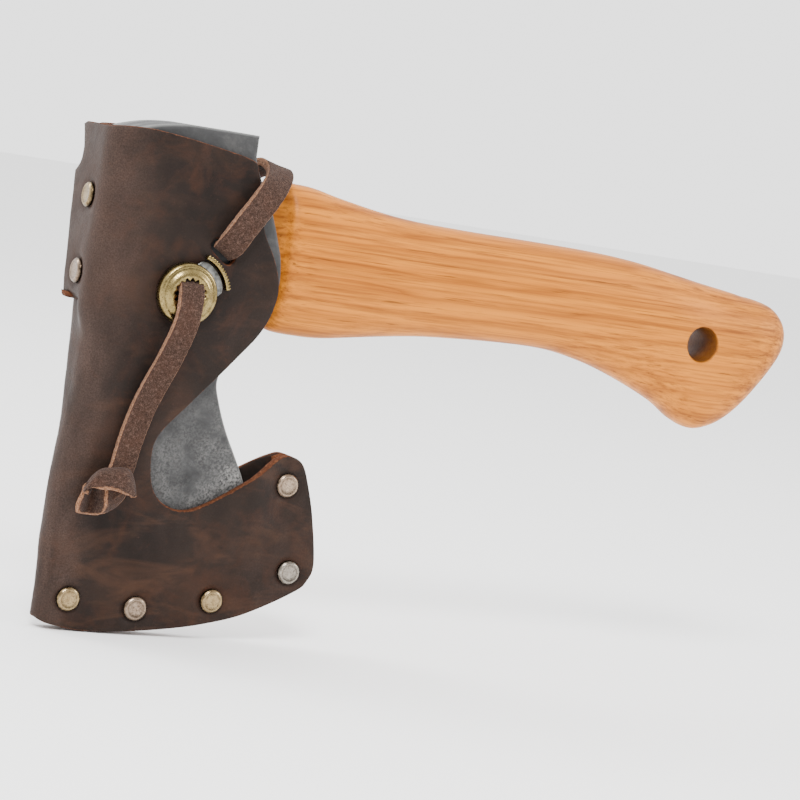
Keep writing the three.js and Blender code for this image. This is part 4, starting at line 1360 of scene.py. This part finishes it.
# ---------- haft ----------
# Stations along the haft: x, top, bottom and half the thickness.
HAFT = [
    (-111.9, 131, 95.4, TONGUE_HALF),
    (-90, 131, 95.4, TONGUE_HALF),
    (-70, 131, 95.4, TONGUE_HALF),
    (-67, 133.4, 95.4, TONGUE_HALF - 0.8),
    (-64.5, 134.6, 95.2, TONGUE_HALF - 1),
    (-61.3, 134.9, 92.6, TONGUE_HALF + 0.1),
    (-58.5, 134.6, 91.4, 9.6),
    (-52, 134.2, 90.9, 10.3),
    (-42, 132.3, 91.2, 10.4),
    (-24, 129.8, 93.9, 10.2),
    (-4, 128.9, 96, 10),
    (28, 128.8, 97.1, 9.9),
    (46, 128.4, 95, 10),
    (62, 127.4, 90.4, 10.3),
    (76, 125.5, 85, 10.7),
    (84, 124.3, 80.4, 10.8),
    (91, 123.4, 78.3, 10.7),
    (97, 122.7, 79.8, 10.5),
    (102, 122, 83, 10.2),
    (107, 121.5, 88.2, 9.7),
    (112.5, 120.2, 95.6, 8.6),
    (116.3, 117.6, 101.2, 6.8),
    (118.8, 114.2, 105.2, 4.2),
    (119.8, 111.6, 107.8, 1.8),
]


def build_haft():
    rows = []
    for station in curve_through(HAFT, 6):
        x, top, bottom, half = station
        rows += oval(x, (top + bottom) / 2, half, (top - bottom) / 2, OVAL_POINTS)
    verts = [p + Vector((0, 0.12, 0.12)) * noise.noise(p * 0.05) for p in rows]
    haft = to_object("haft_hickory", verts, grid_faces(len(rows) // OVAL_POINTS, OVAL_POINTS))
    x, z, radius = HANG_HOLE
    profile = [(0, -16), (radius + 2.2, -16), (radius + 0.9, -10.9)]
    profile += [(radius + 0.25, -10.2), (radius, -9.6)]
    profile += [(radius, 0)] + [(r, -h) for r, h in reversed(profile)]
    place = facing(Vector((x, 0, z)), Vector((0, -1, 0)))
    cutter = to_object("hole_cutter", *revolved(profile, 64, place))
    tidy = bmesh.new()
    tidy.from_mesh(cutter.data)
    bmesh.ops.remove_doubles(tidy, verts=tidy.verts, dist=1e-7)
    tidy.to_mesh(cutter.data)
    tidy.free()
    ride_as(cut(haft, cutter), "hatchet", "hickory", HICKORY_LOOK, "haft")


build_haft()


def dress(node, material):
    """Gives a CAD node its material."""
    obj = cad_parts[node]
    if obj.material_slots:
        for slot in obj.material_slots:
            slot.material = material
    else:
        obj.data.materials.append(material)


dress("haft_wedge", HICKORY_LOOK)
dress("ring_wedge", STEEL_LOOK)
dress("lock_eyelet", BRASS_LOOK)


# ---------- cord lock ----------
LOCK_FACE = PANEL_Y  # the panel's outer face under the lock
TEETH = 16
RIDGES = 14
LOCK_TO = Vector((math.cos(LOCK_TURN), 0, math.sin(LOCK_TURN)))
LOCK_ACROSS = Vector((-math.sin(LOCK_TURN), 0, math.cos(LOCK_TURN)))
LOCK_BASE = Vector((LOCK.x, LOCK_FACE, LOCK.z))


def lock_point(u, v, height):
    """A point from the lock's own plane: u towards the button, and the height off the leather."""
    return LOCK_BASE + LOCK_TO * u + LOCK_ACROSS * v + LOCK_OUT * height


def tooth_wave(angle):
    """From 0 between two teeth to 1 at a tooth's tip."""
    phase = angle * TEETH / (2 * math.pi) % 1
    return (1 - abs(2 * phase - 1)) ** 1.2


def build_lock():
    # The third numbers darken the rim's foot and the lip round the hole: painted shade, with some patina.
    rim = [(8.0, 0.02, 1.0), (8.8, 0.02, 1.0), (8.93, 0.4, 0.8), (8.96, 0.9, 0.5), (8.94, 1.5, 0.15)]
    rim += [(8.84, 2.1, 0.0), (8.62, 2.62, 0.0), (8.3, 2.98, 0.0), (7.95, 3.14, 0.0), (7.62, 3.16, 0.15)]
    rim += [(7.36, 3.14, 0.5)]
    dome = [(7.1, 3.2, 0.3), (6.8, 3.36, 0.1), (6.4, 3.62, 0.0), (6.0, 3.84, 0.0), (5.6, 3.97, 0.0)]
    dome += [(5.25, 3.98, 0.1)]
    lip = [(4.95, 3.9, 0.3), (4.75, 3.72, 0.5), (4.65, 3.45, 0.8), (4.7, 3.1, 1.0), (4.9, 2.85, 1.0)]
    lip += [(6.6, 2.75, 1.0), (7.7, 2.3, 1.0), (8.0, 1.5, 1.0), (8.0, 0.02, 1.0)]

    def toothed(angle, radius, height):
        if radius > 5.3 or height > 3.9:
            return 0.0
        return -1.0 * tooth_wave(angle) * smoothstep(5.3 - radius, 0, 0.5)

    place = facing(LOCK_BASE, LOCK_OUT)
    shell = to_object("lock_shell_brass", *revolved(rim + dome + lip, 192, place, toothed))
    weld = shell.modifiers.new("weld", "WELD")
    weld.merge_threshold = 1e-6
    ride_as(shell, "sheath", "antique_brass", BRASS_LOOK, "lock_shell")

    tip = arc(10.5, -0.42, 0.42, 12)
    round_end = arc(5.5, math.pi / 2, 1.5 * math.pi, 24)
    outline = tip + [(8.4, 5.4), (7, 5.5)] + round_end + [(7, -5.5), (8.4, -5.4)]
    net = Net(evened(outline, 0.8), [ring_of(0, 0, 4.6, 40)], 1.2, (0.12, 0.25))
    plate = joined("lock_plate_steel", [net.solid(lambda u, v, k: lock_point(u, v, 2.5 - 1.1 * k), 0.18)])
    ride_as(plate, "lock_slide", "lock_steel", PLATE_LOOK, "lock_plate")

    # The button's rim, knurled on the outside.
    half_angle = math.radians(29)
    outline = []
    for i, a in enumerate(spread(half_angle, -half_angle, RIDGES * 6)):
        swell = 0.5 - 0.5 * math.cos(i / 6 * 2 * math.pi)
        radius = 11.95 + 0.6 * swell ** 0.7
        outline.append((radius * math.cos(a), radius * math.sin(a)))
    outline += arc(11.15, -half_angle, half_angle, 24)
    net = Net(outline, [], 0.5, (0.1, 0.22))
    button = joined("lock_button_brass", [net.solid(lambda u, v, k: lock_point(u, v, 3.25 - 2.5 * k), 0.09)])
    ride_as(button, "lock_slide", "antique_brass", BRASS_LOOK, "lock_button")

    # The bowed spring behind the plate, which in the real lock flattens against the shell as the button is
    # pressed; here it keeps its bow.
    rows = []
    wire = ((-0.2, 1.45), (0.2, 1.45), (0.2, 2.25), (-0.2, 2.25))
    for v in spread(-3, 3, 16):
        u = -6.9 + math.cos(v / 3 * math.pi / 2) ** 2
        rows += [lock_point(u + side, v, height) for side, height in wire]
    spring = to_object("lock_spring_steel", rows, grid_faces(len(rows) // 4, 4))
    ride_as(spring, "sheath", "lock_steel", PLATE_LOOK, "lock_spring")
    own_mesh(spring)


build_lock()


# ---------- thong ----------
LOOP_ROUTE = [
    ((-82.6, -13.2, 112.9), (-0.3, -1, -0.4)),
    ((-81.2, -15.8, 115.4), (0, -1, 0.2)),
    ((-78.3, -17.4, 121.5), (0, -1, 0)),
    ((-74, -16.9, 128), (0, -1, 0.1)),
    ((-70.2, -14.6, 133.2), (0, -0.85, 0.45)),
    ((-66.6, -8, 136.9), (0.1, -0.35, 1)),
    ((-66, 0, 138.3), (0.26, 0, 1)),
    ((-66.8, 8, 136.9), (0.1, 0.35, 1)),
    ((-69.6, 14.4, 133.4), (-0.1, 0.8, 0.5)),
    ((-75.1, 16.4, 130), (0, 1, 0.1)),
    ((-78.4, 14.4, 127.2), (0.4, 1, 0.5)),
    ((-79.5, 12.7, 126), (0.7, 0.8, 0.8)),
]


loop_strap = strap_parts(LOOP_ROUTE, THONG_WIDTH + 0.7, THONG_THICK + 0.3, (0.8, 0.85), 4)
loop = joined("thong_loop_leather", [loop_strap])
ride_as(loop, "sheath", "thong_leather", THONG_LOOK, "thong_loop")


# ---------- stage ----------
FLOOR_PLAY = 0.0004  # metres between the floor and the sheath's lowest point


def add_stage():
    mesh = bpy.data.meshes.new("floor")
    reach = 6.0
    corners = [(reach * x, reach * y, 0) for x, y in ((-1, -1), (1, -1), (1, 1), (-1, 1))]
    mesh.from_pydata(corners, [], [(0, 1, 2, 3)])
    floor = bpy.data.objects.new("floor", mesh)
    floor.location.z = cad_box[0].z - FLOOR_PLAY
    bpy.context.scene.collection.objects.link(floor)
    material, _, shader = new_material("floor_paper", roughness=0.95, specular=0.1)
    shader.inputs["Base Color"].default_value = (0.97, 0.97, 0.965, 1)
    mesh.materials.append(material)


def add_light(name, place, target, size, power):
    data = bpy.data.lights.new(name, "AREA")
    data.shape = "DISK"
    data.size = size
    data.energy = power
    light = bpy.data.objects.new(name, data)
    light.location = place
    light.rotation_euler = (Vector(target) - Vector(place)).to_track_quat("-Z", "Y").to_euler()
    bpy.context.scene.collection.objects.link(light)


def add_lights():
    add_light("key", (-0.55, -0.9, 1.1), (0, 0, 0.06), 0.5, 26)
    add_light("side", (1.1, -0.7, 0.6), (0, 0, 0.08), 0.6, 10)
    add_light("rim", (-0.9, 0.7, 0.9), (0, 0, 0.08), 0.6, 9)
    world = bpy.data.worlds.new("studio")
    world.use_nodes = True
    tree = world.node_tree
    # The studio is a little darker on the side of the sheath's front, so that metal has contrast.
    direction = tree.nodes.new("ShaderNodeTexCoord").outputs["Generated"]
    parts = tree.nodes.new("ShaderNodeSeparateXYZ")
    fade = tree.nodes.new("ShaderNodeMapRange")
    for key, number in zip(RANGE_KEYS, (-0.85, -0.05, 0.9, 2.4)):
        fade.inputs[key].default_value = number
    tree.links.new(direction, parts.inputs["Vector"])
    tree.links.new(parts.outputs["Y"], fade.inputs["Value"])
    tree.links.new(fade.outputs["Result"], tree.nodes["Background"].inputs["Strength"])
    tree.nodes["Background"].inputs["Color"].default_value = (1, 1, 1, 1)
    bpy.context.scene.world = world


add_stage()
add_lights()
